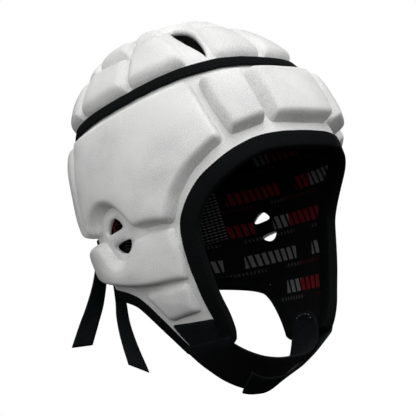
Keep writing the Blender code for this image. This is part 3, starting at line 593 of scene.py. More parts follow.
def crown_base(flat):
    """How far the crown's face stands off the head: it swells up from the seam."""
    rim = (math.pi / 2 - latitude_at(SEAM_LEVEL)) * HALF_WIDTH
    share = np.clip((rim - np.hypot(flat[:, 0], flat[:, 1])) / CROWN_SWELL_WIDTH, 0, 1)
    return SHELL_OUTER + CROWN_SWELL * (1 - (1 - share) ** 2)


rim_latitude = math.degrees(latitude_at(SEAM_LEVEL + SEAM_GAP / 2))
crown_rim = crown_flat([(360 * k / CROWN_EDGE_SIDES, rim_latitude)
                        for k in range(CROWN_EDGE_SIDES)])
crown_vents = [rounded(crown_flat(CROWN_VENT, side), VENT_CORNER, CROWN_VENT_STEP)
               for side in (1, -1)]
crown_lining = cut_panel("crown_lining_knit", [crown_rim] + crown_vents, LINING_CELL,
                         even_sheet(0, LINING_THICKNESS), crown_map)
finished(crown_lining, warp_knit("black_plain_knit")[0], "black_lining_knit", "shell",
         "crown_lining")
crown_shell = cut_panel("crown_shell_twill", [crown_rim] + crown_vents, CROWN_SHELL_CELL,
                        lipped_sheet(crown_base), crown_map)
finished(crown_shell, twill, "white_laminated_knit", "shell", "crown_shell")

# Foam pads of the wrap: closed-cell foam blocks heat-pressed under the white twill.
# Most rise about 10 mm, and those on the jaw 3 mm, with a flank, a soft shoulder and a
# slightly full top, so that two neighbours meet in a thin pressed valley.
SIDES = {"left": 1, "right": -1}
PAD_CELL = 0.0012
PAD_SINK = 0.0004
PAD_TOP = 0.0156
REAR_PAD_TOP = 0.0140
JAW_PAD_TOP = 0.0082
CHEEK_FRONT_DEGREES = (71, 102)
CHEEK_THINNING = 0.0066
CHEEK_REAR_DEGREES = (112, 130)
CHEEK_REAR_THINNING = 0.0026
EAR_DIP = 0.0050
PAD_CROWN = 0.0014
CROWN_REACH = 0.016
FLANK_WIDTH = 0.0056
FLANK_ROUND = 2.4
FLANK_STEEPNESS = 0.75
PAD_CORNER = 0.004
WRINKLE = 0.0007
WRINKLE_SIZE = 0.022
FRONT_PAD = [(-21.8, 77), (21.8, 77), (18.8, 37), (9, 36.2), (0, 35.6), (-9, 36.2), (-18.8, 37)]
TEMPLE_PAD = [(24, 77), (42.6, 77), (40.4, 55), (36.8, 33.5), (21, 37.5)]
SIDE_PAD = [(45.4, 77), (121, 76), (121.6, 55), (122.6, 36), (124.5, 19), (124.5, 9), (119, 7.5),
            (116.3, 15), (111.5, 20.5), (105.5, 22), (100, 18), (96, 10), (92.5, 1), (90.5, -2.5),
            (84, -3.5), (78, -5), (72, -8.2), (69.5, -6), (64.5, 6), (55.5, 18.5), (44.5, 28.5),
            (39.8, 31.5), (42.8, 55)]
REAR_PAD = [(123.2, 76), (177, 76), (174, 18), (160, 17), (148, 17), (137, 14), (128.5, 9.5),
            (126.6, 19), (124.8, 36), (123.8, 55)]
CHEEK_PAD = [(71.5, -10.4), (78, -7.6), (84, -5.9), (91, -5.2), (95, -6.6), (98, -11), (101, -14.8),
             (104.5, -16.6), (108.5, -16), (111.5, -12), (113.5, -5), (115.5, 0.5), (119.5, 4),
             (125, 5.4), (132, 7.4), (139, 8), (141, -17), (130, -22.6), (119, -28.4), (108, -34.4),
             (99, -38.8), (90, -41.2), (82, -43), (74, -45.4), (71.8, -35), (70.8, -22)]
JAW_PAD = [(75, -66.6), (99.5, -64.8), (105.5, -43.5), (103, -40.6), (90, -42.4), (75.5, -46)]


def pressed(heights, faces, fixed):
    """Heights evened out over the triangles, as a warm press does; fixed ones stay."""
    sides = triangle_sides(faces)
    sides = np.vstack([sides, sides[:, ::-1]])
    counts = np.bincount(sides[:, 0], minlength=len(heights))
    sums = np.bincount(sides[:, 0], heights[sides[:, 1]], minlength=len(heights))
    return np.where(fixed, heights, (heights + sums / counts) / 2)


def moulded(top, base, flank):
    """The offsets of a pressed pad: a steep flank up from its base, and a slightly full top."""
    def offsets(flat, faces, gaps):
        share = np.clip(gaps[0] / flank, 0, 1)
        profile = (1 - (1 - share) ** FLANK_ROUND) ** FLANK_STEEPNESS
        profile = pressed(profile, faces, gaps[0] < 1e-6)
        crown = np.sin(np.clip(gaps[0] / CROWN_REACH, 0, 1) * math.pi / 2)
        foot = base(flat) - PAD_SINK
        places = np.column_stack([flat, np.zeros(len(flat))]) / WRINKLE_SIZE
        waves = np.array([noise.noise(Vector(place)) for place in places])
        height = top(flat) if callable(top) else top
        outer = foot + (height - foot) * profile + PAD_CROWN * crown + WRINKLE * waves * share
        return foot - PAD_SINK, outer
    return offsets


def ear_top(flat):
    """The height of the side and rear pads, which dip toward the ear vents."""
    return PAD_TOP - EAR_DIP * near_ear(flat)


def cheek_top(flat):
    """The cheek pad's height, which also thins out toward the face opening and the nape."""
    degrees = np.degrees(np.abs(flat[:, 0]) / HALF_WIDTH)
    share = np.interp(degrees, CHEEK_FRONT_DEGREES, (1, 0))
    rear = np.interp(degrees, CHEEK_REAR_DEGREES, (0, CHEEK_REAR_THINNING))
    return ear_top(flat) - CHEEK_THINNING * share * share * (3 - 2 * share) - rear


def foam_pad(node, corners, top, base=wrap_base, mapping=wrap_map, flank=FLANK_WIDTH):
    """A pressed pad in the place of that solid."""
    outline = rounded(corners, PAD_CORNER, PAD_CELL)
    piece = cut_panel(node + "_cover", [outline], PAD_CELL, moulded(top, base, flank), mapping)
    finished(piece, twill, "white_pad_knit", "shell", node)


foam_pad("front_pad", wrap_flat(FRONT_PAD), PAD_TOP)
for side_name, side in SIDES.items():
    for pad, corners, top in (("temple_pad", TEMPLE_PAD, PAD_TOP),
                              ("side_pad", SIDE_PAD, ear_top),
                              ("rear_pad", REAR_PAD, REAR_PAD_TOP),
                              ("cheek_pad", CHEEK_PAD, cheek_top),
                              ("jaw_pad", JAW_PAD, JAW_PAD_TOP)):
        foam_pad(pad + "_" + side_name, wrap_flat(corners, side)[::side], top)

# Foam pads of the crown: a lower row of wedges on the ring, an upper row and one at the top.
# They are the same pressed foam, fuller, and their lower flanks bulge out over the ring.
TOP_PAD_TOP = 0.0142
CROWN_FLANK = 0.0078
SEAT_RISE = 0.0046
SEAT_WIDTH = 0.0060
RING_WIDTH = 0.0068
RING_CLEARANCE = 0.0002
FOOT = math.degrees(latitude_at(SEAM_LEVEL + RING_WIDTH / 2 + RING_CLEARANCE))
HEAD = 70
# Each pad's top, and the degrees and latitudes of its lower and of its upper edge
CROWN_PADS = {
    "crown_pad_%s_1": (0.0134, ((0.7, FOOT), (31.8, FOOT)), ((0.7, 60.5), (28, 61.5))),
    "crown_pad_%s_2": (0.0154, ((42.5, FOOT), (76.4, FOOT)), ((51, 61.5), (74.6, 58.5))),
    "crown_pad_%s_3": (0.0152, ((77.2, FOOT), (116.8, FOOT)), ((75.6, 54.5), (117.4, 57.5))),
    "crown_pad_%s_4": (0.0146, ((117.6, FOOT), (179.4, FOOT)), ((118.2, 56.5), (179.4, 50))),
    "upper_pad_%s_1": (0.0160, ((51.5, 62.6), (75.5, 59.4)), ((47, HEAD), (76, HEAD))),
    "upper_pad_%s_2": (0.0160, ((76.8, 55.6), (117.8, 58.6)), ((77.4, HEAD), (117.4, HEAD))),
    "upper_pad_%s_3": (0.0156, ((119, 57.5), (179, 51)), ((119, HEAD), (179, HEAD)))}
TOP_PAD = [(-116, 71), (-151, 71), (180, 71), (151, 71), (116, 71), (68, 71.5), (33, 74.5),
           (22, 65.5), (0, 62), (-22, 65.5), (-33, 74.5), (-68, 71.5)]


def crown_seat(flat):
    """Where a crown pad's edge lies: deep at the ring, and shallow between two pads."""
    ring = math.radians(90 - FOOT) * HALF_WIDTH
    share = np.clip((ring - np.hypot(flat[:, 0], flat[:, 1])) / SEAT_WIDTH, 0, 1)
    return SHELL_OUTER + SEAT_RISE * share * share * (3 - 2 * share)


def crown_wedge(lower, upper, steps=6):
    """The corners of a wedge between a lower and an upper edge, each drawn in equal steps."""
    shares = np.linspace(0, 1, steps + 1)[:, None]
    edges = [np.array(edge[0]) + (np.array(edge[1]) - edge[0]) * shares for edge in (lower, upper)]
    return np.vstack([edges[0], edges[1][::-1]])


crown_style = {"base": crown_seat, "mapping": crown_map, "flank": CROWN_FLANK}
for side_name, side in SIDES.items():
    for name, (top, lower, upper) in CROWN_PADS.items():
        corners = crown_flat(crown_wedge(lower, upper), side)[::side]
        foam_pad(name % side_name, corners, top, **crown_style)
foam_pad("top_pad", crown_flat(TOP_PAD), TOP_PAD_TOP, **crown_style)

# Crown ring: black ribbed tape, about 7 mm wide, sewn flat over the seam of crown and wrap.
# Its edges wander a little with the stitches that hold them.
TAPE_STEP = 0.0010
TAPE_TOOTH = 0.00012
RING_THICKNESS = 0.0018
RING_LOW = 0.0080
EDGE_WAVER = 0.00030
EDGE_WAVE_LENGTH = 0.011
RING_WAVES = 7
BINDING_BLACK = "#08090A"
# Painted highlight: the lighter grey on the tape's rib tops
RIB_PAINTED_HIGHLIGHT = "#101213"


def ribbed_tape():
    """Polyester binding tape: dull black, with ribs across it 1.1 mm apart, their tops painted grey
    as a highlight.
    """
    made, tree, shader, place = fabric("black_ribbed_tape", BINDING_BLACK, roughness=0.7,
                                       sheen=0.006, shine=0.04)
    ribs = ridges(tree, place, pitch_mm=1.1, turn_degrees=18)
    weft = ridges(tree, place, pitch_mm=0.7, turn_degrees=90)
    threads(tree, shader, layered(tree, ribs, (weft, 0.3)), strength=0.6, shade=ribs,
            tones=(BINDING_BLACK, RIB_PAINTED_HIGHLIGHT))
    return made


def lofted(name, rings, pattern, closed=False):
    """A closed skin through rings of points, with flat ends unless it runs round."""
    count, size = rings.shape[:2]
    faces = []
    for k in range(count if closed else count - 1):
        after = (k + 1) % count
        for m in range(size):
            n = (m + 1) % size
            faces.append((k * size + m, k * size + n, after * size + n, after * size + m))
    if not closed:
        faces.append(tuple(range(size))[::-1])
        faces.append(tuple((count - 1) * size + m for m in range(size)))
    return made_object(name, rings.reshape(-1, 3), faces, pattern.reshape(-1, 2))


def swept_tape(name, line, section, side=1, waver=EDGE_WAVER):
    """A tape's section (into the cloth, outward) run along a flat line on the head."""
    along = unit(np.gradient(line, axis=0))
    into = np.stack([along[:, 1], -along[:, 0]], -1) * side
    section = np.asarray(section)
    girth = distances(section)
    rings, pattern = [], []
    for k, (point, normal, reach) in enumerate(zip(line, into, distances(line))):
        place = Vector((*(point / EDGE_WAVE_LENGTH), 0))
        wander = (noise.noise(place) * waver + TAPE_TOOTH * (k % 2)) / np.abs(section[:, 0]).max()
        flat = point + normal * (section[:, :1] * (1 + wander))
        rings.append(wrap_map(np.column_stack([flat, section[:, 1]])))
        pattern.append(np.column_stack([np.full(len(section), reach), girth]))
    rings, pattern = np.array(rings), np.array(pattern)
    if side < 0:
        rings, pattern = rings[:, ::-1], pattern[:, ::-1]
    return lofted(name, rings, pattern)


def flat_section(width, low, thickness):
    """A tape's section: flat faces with rolled edges."""
    half = width / 2
    roll = [(1.0, 0.0), (1.0, 0.55), (0.94, 0.9), (0.8, 1.0), (0.4, 1.04), (0, 1.05)]
    upper = [(half * a, low + thickness * b) for a, b in roll]
    return upper + [(-a, b) for a, b in upper[-2::-1]]


tape = ribbed_tape()
ring_steps = round(2 * math.pi * HALF_WIDTH / TAPE_STEP)
ring_rows = np.array(flat_section(RING_WIDTH, RING_LOW, RING_THICKNESS))
rings, ring_pattern = [], []
for k in range(ring_steps):
    turn = 2 * math.pi * k / ring_steps
    arcs = np.full(len(ring_rows), HALF_WIDTH * turn)
    heading = Vector((math.sin(turn), math.cos(turn), 0))
    ripple = EDGE_WAVER * noise.noise(heading * RING_WAVES)
    tooth = 1 + TAPE_TOOTH * (k % 2) / (RING_WIDTH / 2)
    levels = SEAM_LEVEL + ring_rows[:, 0] * tooth + ripple
    rings.append(wrap_map(np.column_stack([arcs, levels, ring_rows[:, 1]])))
    ring_pattern.append(np.column_stack([arcs, ring_rows[:, 0]]))
crown_ring = lofted("crown_ring_tape", np.array(rings), np.array(ring_pattern), closed=True)
finished(crown_ring, tape, "black_ribbed_binding", "shell", "crown_ring")

# Bindings: the same ribbed tape folded over each raw edge and sewn through.
# The face opening's runs from flap tip to flap tip, and each half of the hem has one from its
# flap's tip to the nape.
FACE_BINDING_WIDTH = 0.0105
HEM_BINDING_WIDTH = 0.0072
BINDING_THICKNESS = 0.0013
BINDING_OUTER = 0.0050
BINDING_INNER = -0.0005
BINDING_BULGE = 0.0002
NOSE_STEPS = 6


def folded_section(width):
    """A U of tape over the edge: outer leg, rounded nose, inner leg, and back inside."""
    top, bottom = BINDING_OUTER + BINDING_THICKNESS, BINDING_INNER - BINDING_THICKNESS
    middle, half = (top + bottom) / 2, (top - bottom) / 2
    outside = [(width, BINDING_OUTER), (width, BINDING_OUTER + 0.6 * BINDING_THICKNESS),
               (width * 0.93, top), (width * 0.6, top + BINDING_BULGE), (width * 0.3, top)]
    nose = [(-BINDING_THICKNESS * math.sin(turn), middle + half * math.cos(turn))
            for turn in np.linspace(0, math.pi, NOSE_STEPS + 1)]
    inside_leg = [(width * 0.3, bottom), (width * 0.93, bottom),
                  (width, BINDING_INNER - 0.6 * BINDING_THICKNESS), (width, BINDING_INNER)]
    fold = [(BINDING_BULGE, BINDING_INNER), (BINDING_BULGE, BINDING_OUTER)]
    return outside + nose + inside_leg + fold


face_path = even_line(np.vstack([face_edge[::-1], (face_edge * (-1, 1))[1:]]), TAPE_STEP)
face_binding = swept_tape("face_binding_tape", face_path, folded_section(FACE_BINDING_WIDTH))
finished(face_binding, tape, "black_ribbed_binding", "shell", "face_binding")
hem_end = math.pi * HALF_WIDTH - REAR_SLIT_WIDTH / 2
for side_name, side in SIDES.items():
    hem = even_line(hem_edge[hem_edge[:, 0] < hem_end] * (side, 1), TAPE_STEP)
    name = "hem_binding_" + side_name
    piece = swept_tape(name + "_tape", hem, folded_section(HEM_BINDING_WIDTH), -side)
    finished(piece, tape, "black_ribbed_binding", "shell", name)

# Flap tips: the same ribbed tape, narrower, folded over each flap's cut end.
# It is sewn on before the strap, and its corners lie under the two bindings that meet it.
TIP_BINDING_WIDTH = 0.0040
for side_name, side in SIDES.items():
    ends = wrap_flat([HEM_EDGE[0], FACE_EDGE[-1]], side)[::side]
    piece = swept_tape("flap_tip_tape_" + side_name, even_line(ends, TAPE_STEP),
                       folded_section(TIP_BINDING_WIDTH))
    finished(piece, tape, "black_ribbed_binding", "shell")

# Flap patches: on the right flap a panel of brushed loop that backs the strap's seam, and on
# the left flap the hook strap's own end, both sewn flat on the twill near the tip.
PATCH_FOOT_DEGREES = (71.6, 98)
PATCH_HEAD = [(101, -66.6), (87, -69.9), (70.3, -73.4)]
PATCH_LOW = 0.0046
PATCH_HIGH = 0.0066
PATCH_CORNER = 0.002
PATCH_ROLL = 0.7
LOOP_BLACK = "#121316"
# Painted highlight: the grey on the loop's high pile, whose tone also varies at random
LOOP_PILE_HIGHLIGHT = "#1B1D21"
WEBBING_BLACK = "#16191B"
# Painted highlight: the grey on the woven tape's thread crossings
WEBBING_PAINTED_HIGHLIGHT = "#282D2E"


def tip_level(degrees):
    """The level of a flap's cut tip, in millimetres."""
    return float(np.interp(degrees, (FACE_EDGE[-1][0], HEM_EDGE[0][0]),
                           (FACE_EDGE[-1][1], HEM_EDGE[0][1])))


def brushed_loop():
    """Brushed nylon loop: a dull black pile of tangled fibres that scatters light; its tone varies
    at random with the pile's height, painted grey on the high pile as a highlight.
    """
    made, tree, shader, place = fabric("black_brushed_loop", LOOP_BLACK, roughness=0.95,
                                       sheen=0.03, sheen_roughness=0.35, shine=0.03)
    pile = add(tree, "TexNoise", {"Scale": 1.3, "Detail": 6.0, "Roughness": 0.75},
               {"Vector": place}).outputs["Fac"]
    tufts = add(tree, "TexNoise", {"Scale": 0.35, "Detail": 2.0}, {"Vector": place}).outputs["Fac"]
    threads(tree, shader, layered(tree, pile, (tufts, 0.6)), strength=0.9, depth=0.0007,
            shade=pile, tones=(LOOP_BLACK, LOOP_PILE_HIGHLIGHT), stops=(0.35, 0.75))
    return made


def flat_webbing():
    """Woven polyester tape: a plain weave drawn 1.3 mm apart, a little shinier than knit, its
    thread crossings painted grey as a highlight and the gaps black as shade.
    """
    made, tree, shader, place = fabric("black_woven_tape", WEBBING_BLACK, roughness=0.6,
                                       sheen=0.004, shine=0.05)
    warp, weft = [ridges(tree, place, pitch_mm=1.3, turn_degrees=turn) for turn in (45, -45)]
    weave = overlap(tree, warp, weft)
    threads(tree, shader, weave, strength=0.6, shade=weave, tones=(WEBBING_BLACK, WEBBING_PAINTED_HIGHLIGHT))
    return made


loop_pile = brushed_loop()
webbing = flat_webbing()
patch = [(degrees, tip_level(degrees)) for degrees in PATCH_FOOT_DEGREES] + PATCH_HEAD


def patch_sheet(flat, faces, gaps):
    """The patch's offsets, rolled down at its sewn edge."""
    height = PATCH_HIGH - PATCH_LOW
    roll = 1 - np.clip(gaps[0] / height, 0, 1)
    return np.full(len(flat), PATCH_LOW), PATCH_HIGH - height * PATCH_ROLL * roll ** 2


for name, node, side, look, slot in (
        ("loop_panel_pile", "loop_panel", -1, loop_pile, "black_brushed_loop"),
        ("hook_strap_end", "hook_strap_anchor", 1, webbing, "black_flat_tape")):
    outline = rounded(wrap_flat(patch, side)[::side], PATCH_CORNER, PAD_CELL)
    finished(cut_panel(name, [outline], PAD_CELL, patch_sheet), look, slot, "shell", node)

# Loop strap: a broad strap of brushed nylon loop, sewn on inside the right flap.
# It passes under the chin and up inside the left flap, where its end is rounded, and it is
# soft enough to bend where it leaves the flap.
STRAP_THICKNESS = 0.0016
LOOP_THICKNESS = 0.00184
LOOP_RIPPLE = 0.0004
RIPPLE_SIZE = 0.014
EDGE_ROLL = 0.4
STRAP_SEW_GAP = 0.0009
STRAP_OVERLAP = 0.0045
STRAP_OFFSET = 0.0060
STRAP_FOOT_DEGREES = (64.4, 102.5)
STRAP_FOOT_MIDDLE = sum(STRAP_FOOT_DEGREES) / 2
LOOP_MIDDLES = ((-23.5, -108.9), (10.5, -121.0))
LOOP_POWERS = (2.2, 2.0)
BOW_FADE_POWER = 6
STRAP_COLUMNS = 10
STRAP_STEPS = 60
# The loop strap's far half: its front and rear edge, as millimetres across, along and up
LOOP_FAR = [((12.0, -23.5, -108.8), (11.0, 10.4, -120.6)),
            ((24.0, -23.0, -107.0), (21.0, 9.4, -117.4)),
            ((35.0, -22.2, -102.5), (30.0, 7.4, -111.6)),
            ((42.0, -21.5, -96.2), (38.0, 4.8, -103.4)),
            ((45.5, -21.5, -88.0), (43.5, 2.0, -91.0)),
            ((46.5, -20.0, -80.5), (46.0, -1.5, -81.0)),
            ((46.5, -15.5, -75.5), (46.5, -7.0, -75.5))]


def strap_point(across, along, level):
    """A point of the level form from millimetres across, along and up."""
    return np.array((across * MM, FORM_CENTRE_Y + along * MM, level * MM))


def flap_tip(degrees, drop):
    """A point of the level form just under a flap's cut tip, where the straps are sewn."""
    level = tip_level(abs(degrees)) * MM - drop
    return level_map(np.array([[math.radians(degrees) * HALF_WIDTH, level, STRAP_OFFSET]]))[0]


def strap_rows(side, middles, powers, shares, across=(0, 1), columns=STRAP_COLUMNS, slant=0.0):
    """Rows of a strap that hangs from its flap's tip, bowed at the tip as the flap is.

    The shares run from 1 at the tip to 0 at the middle; past it the front edge is slanted.
    """
    tips = [flap_tip(side * degrees, STRAP_SEW_GAP) for degrees in STRAP_FOOT_DEGREES]
    bow = flap_tip(side * STRAP_FOOT_MIDDLE, STRAP_SEW_GAP) - (tips[0] + tips[1]) / 2
    places = np.linspace(*across, columns + 1)[:, None]
    rows = []
    if shares[0] == 1:
        turns = np.linspace(*STRAP_FOOT_DEGREES, columns + 1) * side
        rows += [[flap_tip(turn, drop) for turn in turns]
                 for drop in np.linspace(-STRAP_OVERLAP, 0, 4)[:-1]]
    for share in shares:
        edges = []
        for tip, middle, power in zip(tips, middles, powers):
            low = strap_point(0, *middle)
            reach = share if edges or share > 0 else share * (1 + slant * share)
            edge = low + (tip - low) * abs(reach) ** power
            edge[0] = tip[0] * reach
            edges.append(edge)
        swell = 4 * places * (1 - places) * abs(share) ** BOW_FADE_POWER
        rows.append(edges[0] + (edges[1] - edges[0]) * places + bow * swell)
    return np.array(rows)


def strap_normals(rows):
    """The way that a strap's face looks at each of its points."""
    return unit(np.cross(np.gradient(rows, axis=0), np.gradient(rows, axis=1)))


def thick_strap(name, rows, thickness, ripple=0.0):
    """A strap through rows of points of the level form, with rolled edges."""
    normals = strap_normals(rows)
    if ripple:
        waves = [[noise.noise(Vector(point) / RIPPLE_SIZE) for point in row] for row in rows]
        rows = rows + normals * (np.array(waves) * ripple)[..., None]
    half = normals * thickness / 2
    roll = unit(np.gradient(rows, axis=1)) * thickness * EDGE_ROLL
    front, rear = rows[:, :1] - roll[:, :1], rows[:, -1:] + roll[:, -1:]
    rings = np.concatenate([front, rows + half, rear, (rows - half)[:, ::-1]], axis=1)
    width = np.linalg.norm(rows[len(rows) // 2, -1] - rows[len(rows) // 2, 0])
    shares = np.linspace(0, width, rows.shape[1])
    girth = np.concatenate([[0], shares, [width], shares[::-1]])
    pattern = np.stack(np.meshgrid(distances(rows[:, 0]), girth, indexing="ij"), -1)
    return lofted(name, raked(rings), pattern)


def folded_on(piece, look, node):
    """Gives a strap its cloth and puts it in place of its solid, with its placement baked into its
    points.
    """
    piece.data.materials.append(look)
    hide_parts(node)
    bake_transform(piece)


loop_rows = strap_rows(-1, LOOP_MIDDLES, LOOP_POWERS, np.linspace(1, 0, STRAP_STEPS))
far_edges = [smooth_line([loop_rows[-1][end]] + [strap_point(*pair[end]) for pair in LOOP_FAR])
             for end in (0, -1)]
columns = np.linspace(0, 1, STRAP_COLUMNS + 1)[:, None]
far_rows = np.array([front + (rear - front) * columns for front, rear in zip(*far_edges)])
loop_strap = thick_strap("loop_strap_pile", np.concatenate([loop_rows, far_rows[1:]]),
                         LOOP_THICKNESS, LOOP_RIPPLE)
folded_on(loop_strap, loop_pile, "loop_strap")

# Stitches: one row of grey polyester thread, sewn by machine round the loop strap's end.
# Each stitch dips into the pile at both of its ends, so the row shows as short grey dashes.
# Where the row runs: the strap's row, counted from its end, and the share of its width
STITCH_PLACES = [(-9, 0.14), (-6, 0.15), (-4, 0.2), (-3, 0.5), (-4, 0.82), (-6, 0.85)]
STITCH_WIDTH = 0.0007
STITCH_THICKNESS = 0.0004
STITCH_LIFT = LOOP_THICKNESS / 2 + STITCH_THICKNESS
STITCH_FACING = (-8, STRAP_COLUMNS // 2)
THREAD_GREY = "#56595A"


def sewing_thread():
    """Polyester thread, a little shiny, in stitches 2.6 mm long."""
    made, tree, shader, place = fabric("grey_sewing_thread", THREAD_GREY, roughness=0.6)
    threads(tree, shader, shade=ridges(tree, place, pitch_mm=2.6),
            tones=(LOOP_BLACK, THREAD_GREY), stops=(0.35, 0.6))
    return made


end_normals = strap_normals(far_rows)
end_normals *= -np.sign(end_normals[..., :1])
stitch_line = []
for row, share in STITCH_PLACES:
    edge, other = far_rows[row][0], far_rows[row][-1]
    normal = end_normals[row][round(share * STRAP_COLUMNS)]
    stitch_line.append(edge + (other - edge) * share + normal * STITCH_LIFT)
stitch_line = smooth_line(stitch_line, 8)
sideways = unit(np.cross(np.gradient(stitch_line, axis=0), end_normals[STITCH_FACING]))
stitch_rows = np.stack([stitch_line + sideways * STITCH_WIDTH * share
                        for share in (-0.5, 0, 0.5)], axis=1)
stitches = thick_strap("loop_strap_stitches", stitch_rows, STITCH_THICKNESS)
finished(stitches, sewing_thread(), "black_brushed_loop", "loop_strap")

# Hook strap: a woven polyester strap, sewn on the left flap, that lies over the loop strap.
# Its end is cut aslant, longer in front, and a patch of moulded nylon hook is sewn on its
# inner face, where it grips the loop strap's pile.
HOOK_MIDDLES = ((-7.0, -118.6), (12.0, -124.2))
HOOK_POWERS = (2.2, 2.2)
HOOK_RIPPLE = 0.0003
HOOK_END = -0.29
HOOK_END_SLANT = 0.8 / HOOK_END
HOOK_TAPE_SPAN = (0.14, -0.25)
HOOK_TAPE_STEPS = 20
HOOK_TAPE_ACROSS = (0.22, 0.8)
HOOK_TAPE_COLUMNS = 6
HOOK_TAPE_THICKNESS = 0.0011
HOOK_TAPE_GAP = 0.0003
HOOK_BLACK = "#131412"
# Painted highlight: the grey on the hook tops
HOOK_PAINTED_HIGHLIGHT = "#242622"


def moulded_hook():
    """Nylon hook tape: olive-black, rows of small hooks 1.5 mm apart, their tops painted grey as a
    highlight.
    """
    made, tree, shader, place = fabric("black_moulded_hook", HOOK_BLACK, roughness=0.5)
    hooks = add(tree, "TexVoronoi", {"Scale": 1 / 1.5, "Randomness": 0.35},
                {"Vector": place}).outputs["Distance"]
    threads(tree, shader, hooks, depth=0.0006, invert=True, shade=hooks,
            tones=(HOOK_PAINTED_HIGHLIGHT, HOOK_BLACK), stops=(0.0, 0.6))
    return made


hook_rows = strap_rows(1, HOOK_MIDDLES, HOOK_POWERS, np.linspace(1, HOOK_END, STRAP_STEPS),
                       slant=HOOK_END_SLANT)
hook_strap = thick_strap("hook_strap_webbing", hook_rows, STRAP_THICKNESS, HOOK_RIPPLE)
folded_on(hook_strap, webbing, "hook_strap")
tape_rows = strap_rows(1, HOOK_MIDDLES, HOOK_POWERS,
                       np.linspace(*HOOK_TAPE_SPAN, HOOK_TAPE_STEPS), HOOK_TAPE_ACROSS,
                       HOOK_TAPE_COLUMNS, HOOK_END_SLANT)
lift = strap_normals(tape_rows)
lift *= np.sign(lift[..., 2:])
tape_rows = tape_rows + lift * (STRAP_THICKNESS / 2 + HOOK_TAPE_GAP + HOOK_TAPE_THICKNESS / 2)
hook_tape = thick_strap("hook_tape_patch", tape_rows, HOOK_TAPE_THICKNESS)
finished(hook_tape, moulded_hook(), "black_hook_tape", "hook_strap", "hook_tape")

# Nape tapes and keepers: two flat woven tapes cross the rear slit to draw the wrap in.
# Each is sewn on the left and passes through a loop of webbing sewn on the right.
NAPE_TAPE_WIDTH = 0.0120
NAPE_TAPE_THICKNESS = 0.0011
KEEPER_WIDTH = 0.0100
KEEPER_THICKNESS = 0.0012
KEEPER_MARGIN = 0.0030
KEEPER_SIDE_GAP = 0.0003
KEEPER_LIFT = 0.0006
KEEPER_BULGE = 0.0002
TAPE_OFFSET = 0.0050
TAPE_SEWN_DEGREES = 167
KEEPER_DEGREES = {"upper": 213, "lower": 203}
TAPE_LEVELS = {"lower": -0.0147 + NAPE_TAPE_WIDTH / 2, "upper": 0.00091 + NAPE_TAPE_WIDTH / 2}
half_keeper = math.degrees(KEEPER_WIDTH / 2 / HALF_WIDTH)


def nape_line(start, end, level):
    """A flat line along one level of the nape, between two angles in degrees."""
    arcs = np.radians(np.linspace(start, end, 40)) * HALF_WIDTH
    return np.column_stack([arcs, np.full(len(arcs), level)])


def keeper_section():
    """A strip over the tape, stepped down to the shell above and below it."""
    half = NAPE_TAPE_WIDTH / 2 + KEEPER_SIDE_GAP
    over = TAPE_OFFSET + NAPE_TAPE_THICKNESS + KEEPER_LIFT + KEEPER_THICKNESS
    step = TAPE_OFFSET + KEEPER_THICKNESS
    outline = [(half, over - KEEPER_THICKNESS), (half, TAPE_OFFSET),
               (half + KEEPER_MARGIN, TAPE_OFFSET), (half + KEEPER_MARGIN, step),
               (half + KEEPER_THICKNESS * 1.2, step),
               (half + KEEPER_THICKNESS * 0.9, over - KEEPER_BULGE * 2),
               (half + KEEPER_THICKNESS * 0.4, over), (half * 0.5, over + KEEPER_BULGE)]
    return outline + [(-a, b) for a, b in outline[::-1]]


for name, degrees in KEEPER_DEGREES.items():
    line = nape_line(TAPE_SEWN_DEGREES, degrees + half_keeper, TAPE_LEVELS[name])
    section = flat_section(NAPE_TAPE_WIDTH, TAPE_OFFSET, NAPE_TAPE_THICKNESS)
    piece = swept_tape("nape_tape_" + name, line, section, waver=0.0)
    finished(piece, webbing, "black_flat_tape", "shell", "adjust_tape_" + name)
    line = nape_line(degrees - half_keeper, degrees + half_keeper, TAPE_LEVELS[name])
    piece = swept_tape("nape_keeper_" + name, line, keeper_section(), waver=0.0)
    finished(piece, webbing, "black_flat_tape", "shell", "keeper_" + name)

# Tape tails: the loose ends of the nape tapes, folded back over their keepers.
# Each is flat woven tape, cut aslant and heat sealed, and hangs with a slow twist.
TAIL_WIDTH = 0.0145
TAIL_GAP = 0.0006
TAIL_RIPPLE = 0.0003
TAIL_COLUMNS = 6
# Each tail's way from its keeper, in millimetres across, along and up, and its turn in degrees
TAIL_LINES = {"upper": [((-1.3, 6.5, -18.2), 25), ((-1.3, 17.6, -33.2), 48),
                        ((-1.3, 29.3, -44.9), 66), ((-1.3, 42.3, -57.9), 78)],
              "lower": [((0.4, 3.3, -20.5), 4), ((0.4, 6.1, -33.5), 10),
                        ((0.4, 6.6, -51.5), 18), ((0.4, 4.8, -70.9), 32)]}
TAIL_END_SLANT = {"upper": -10, "lower": -31}

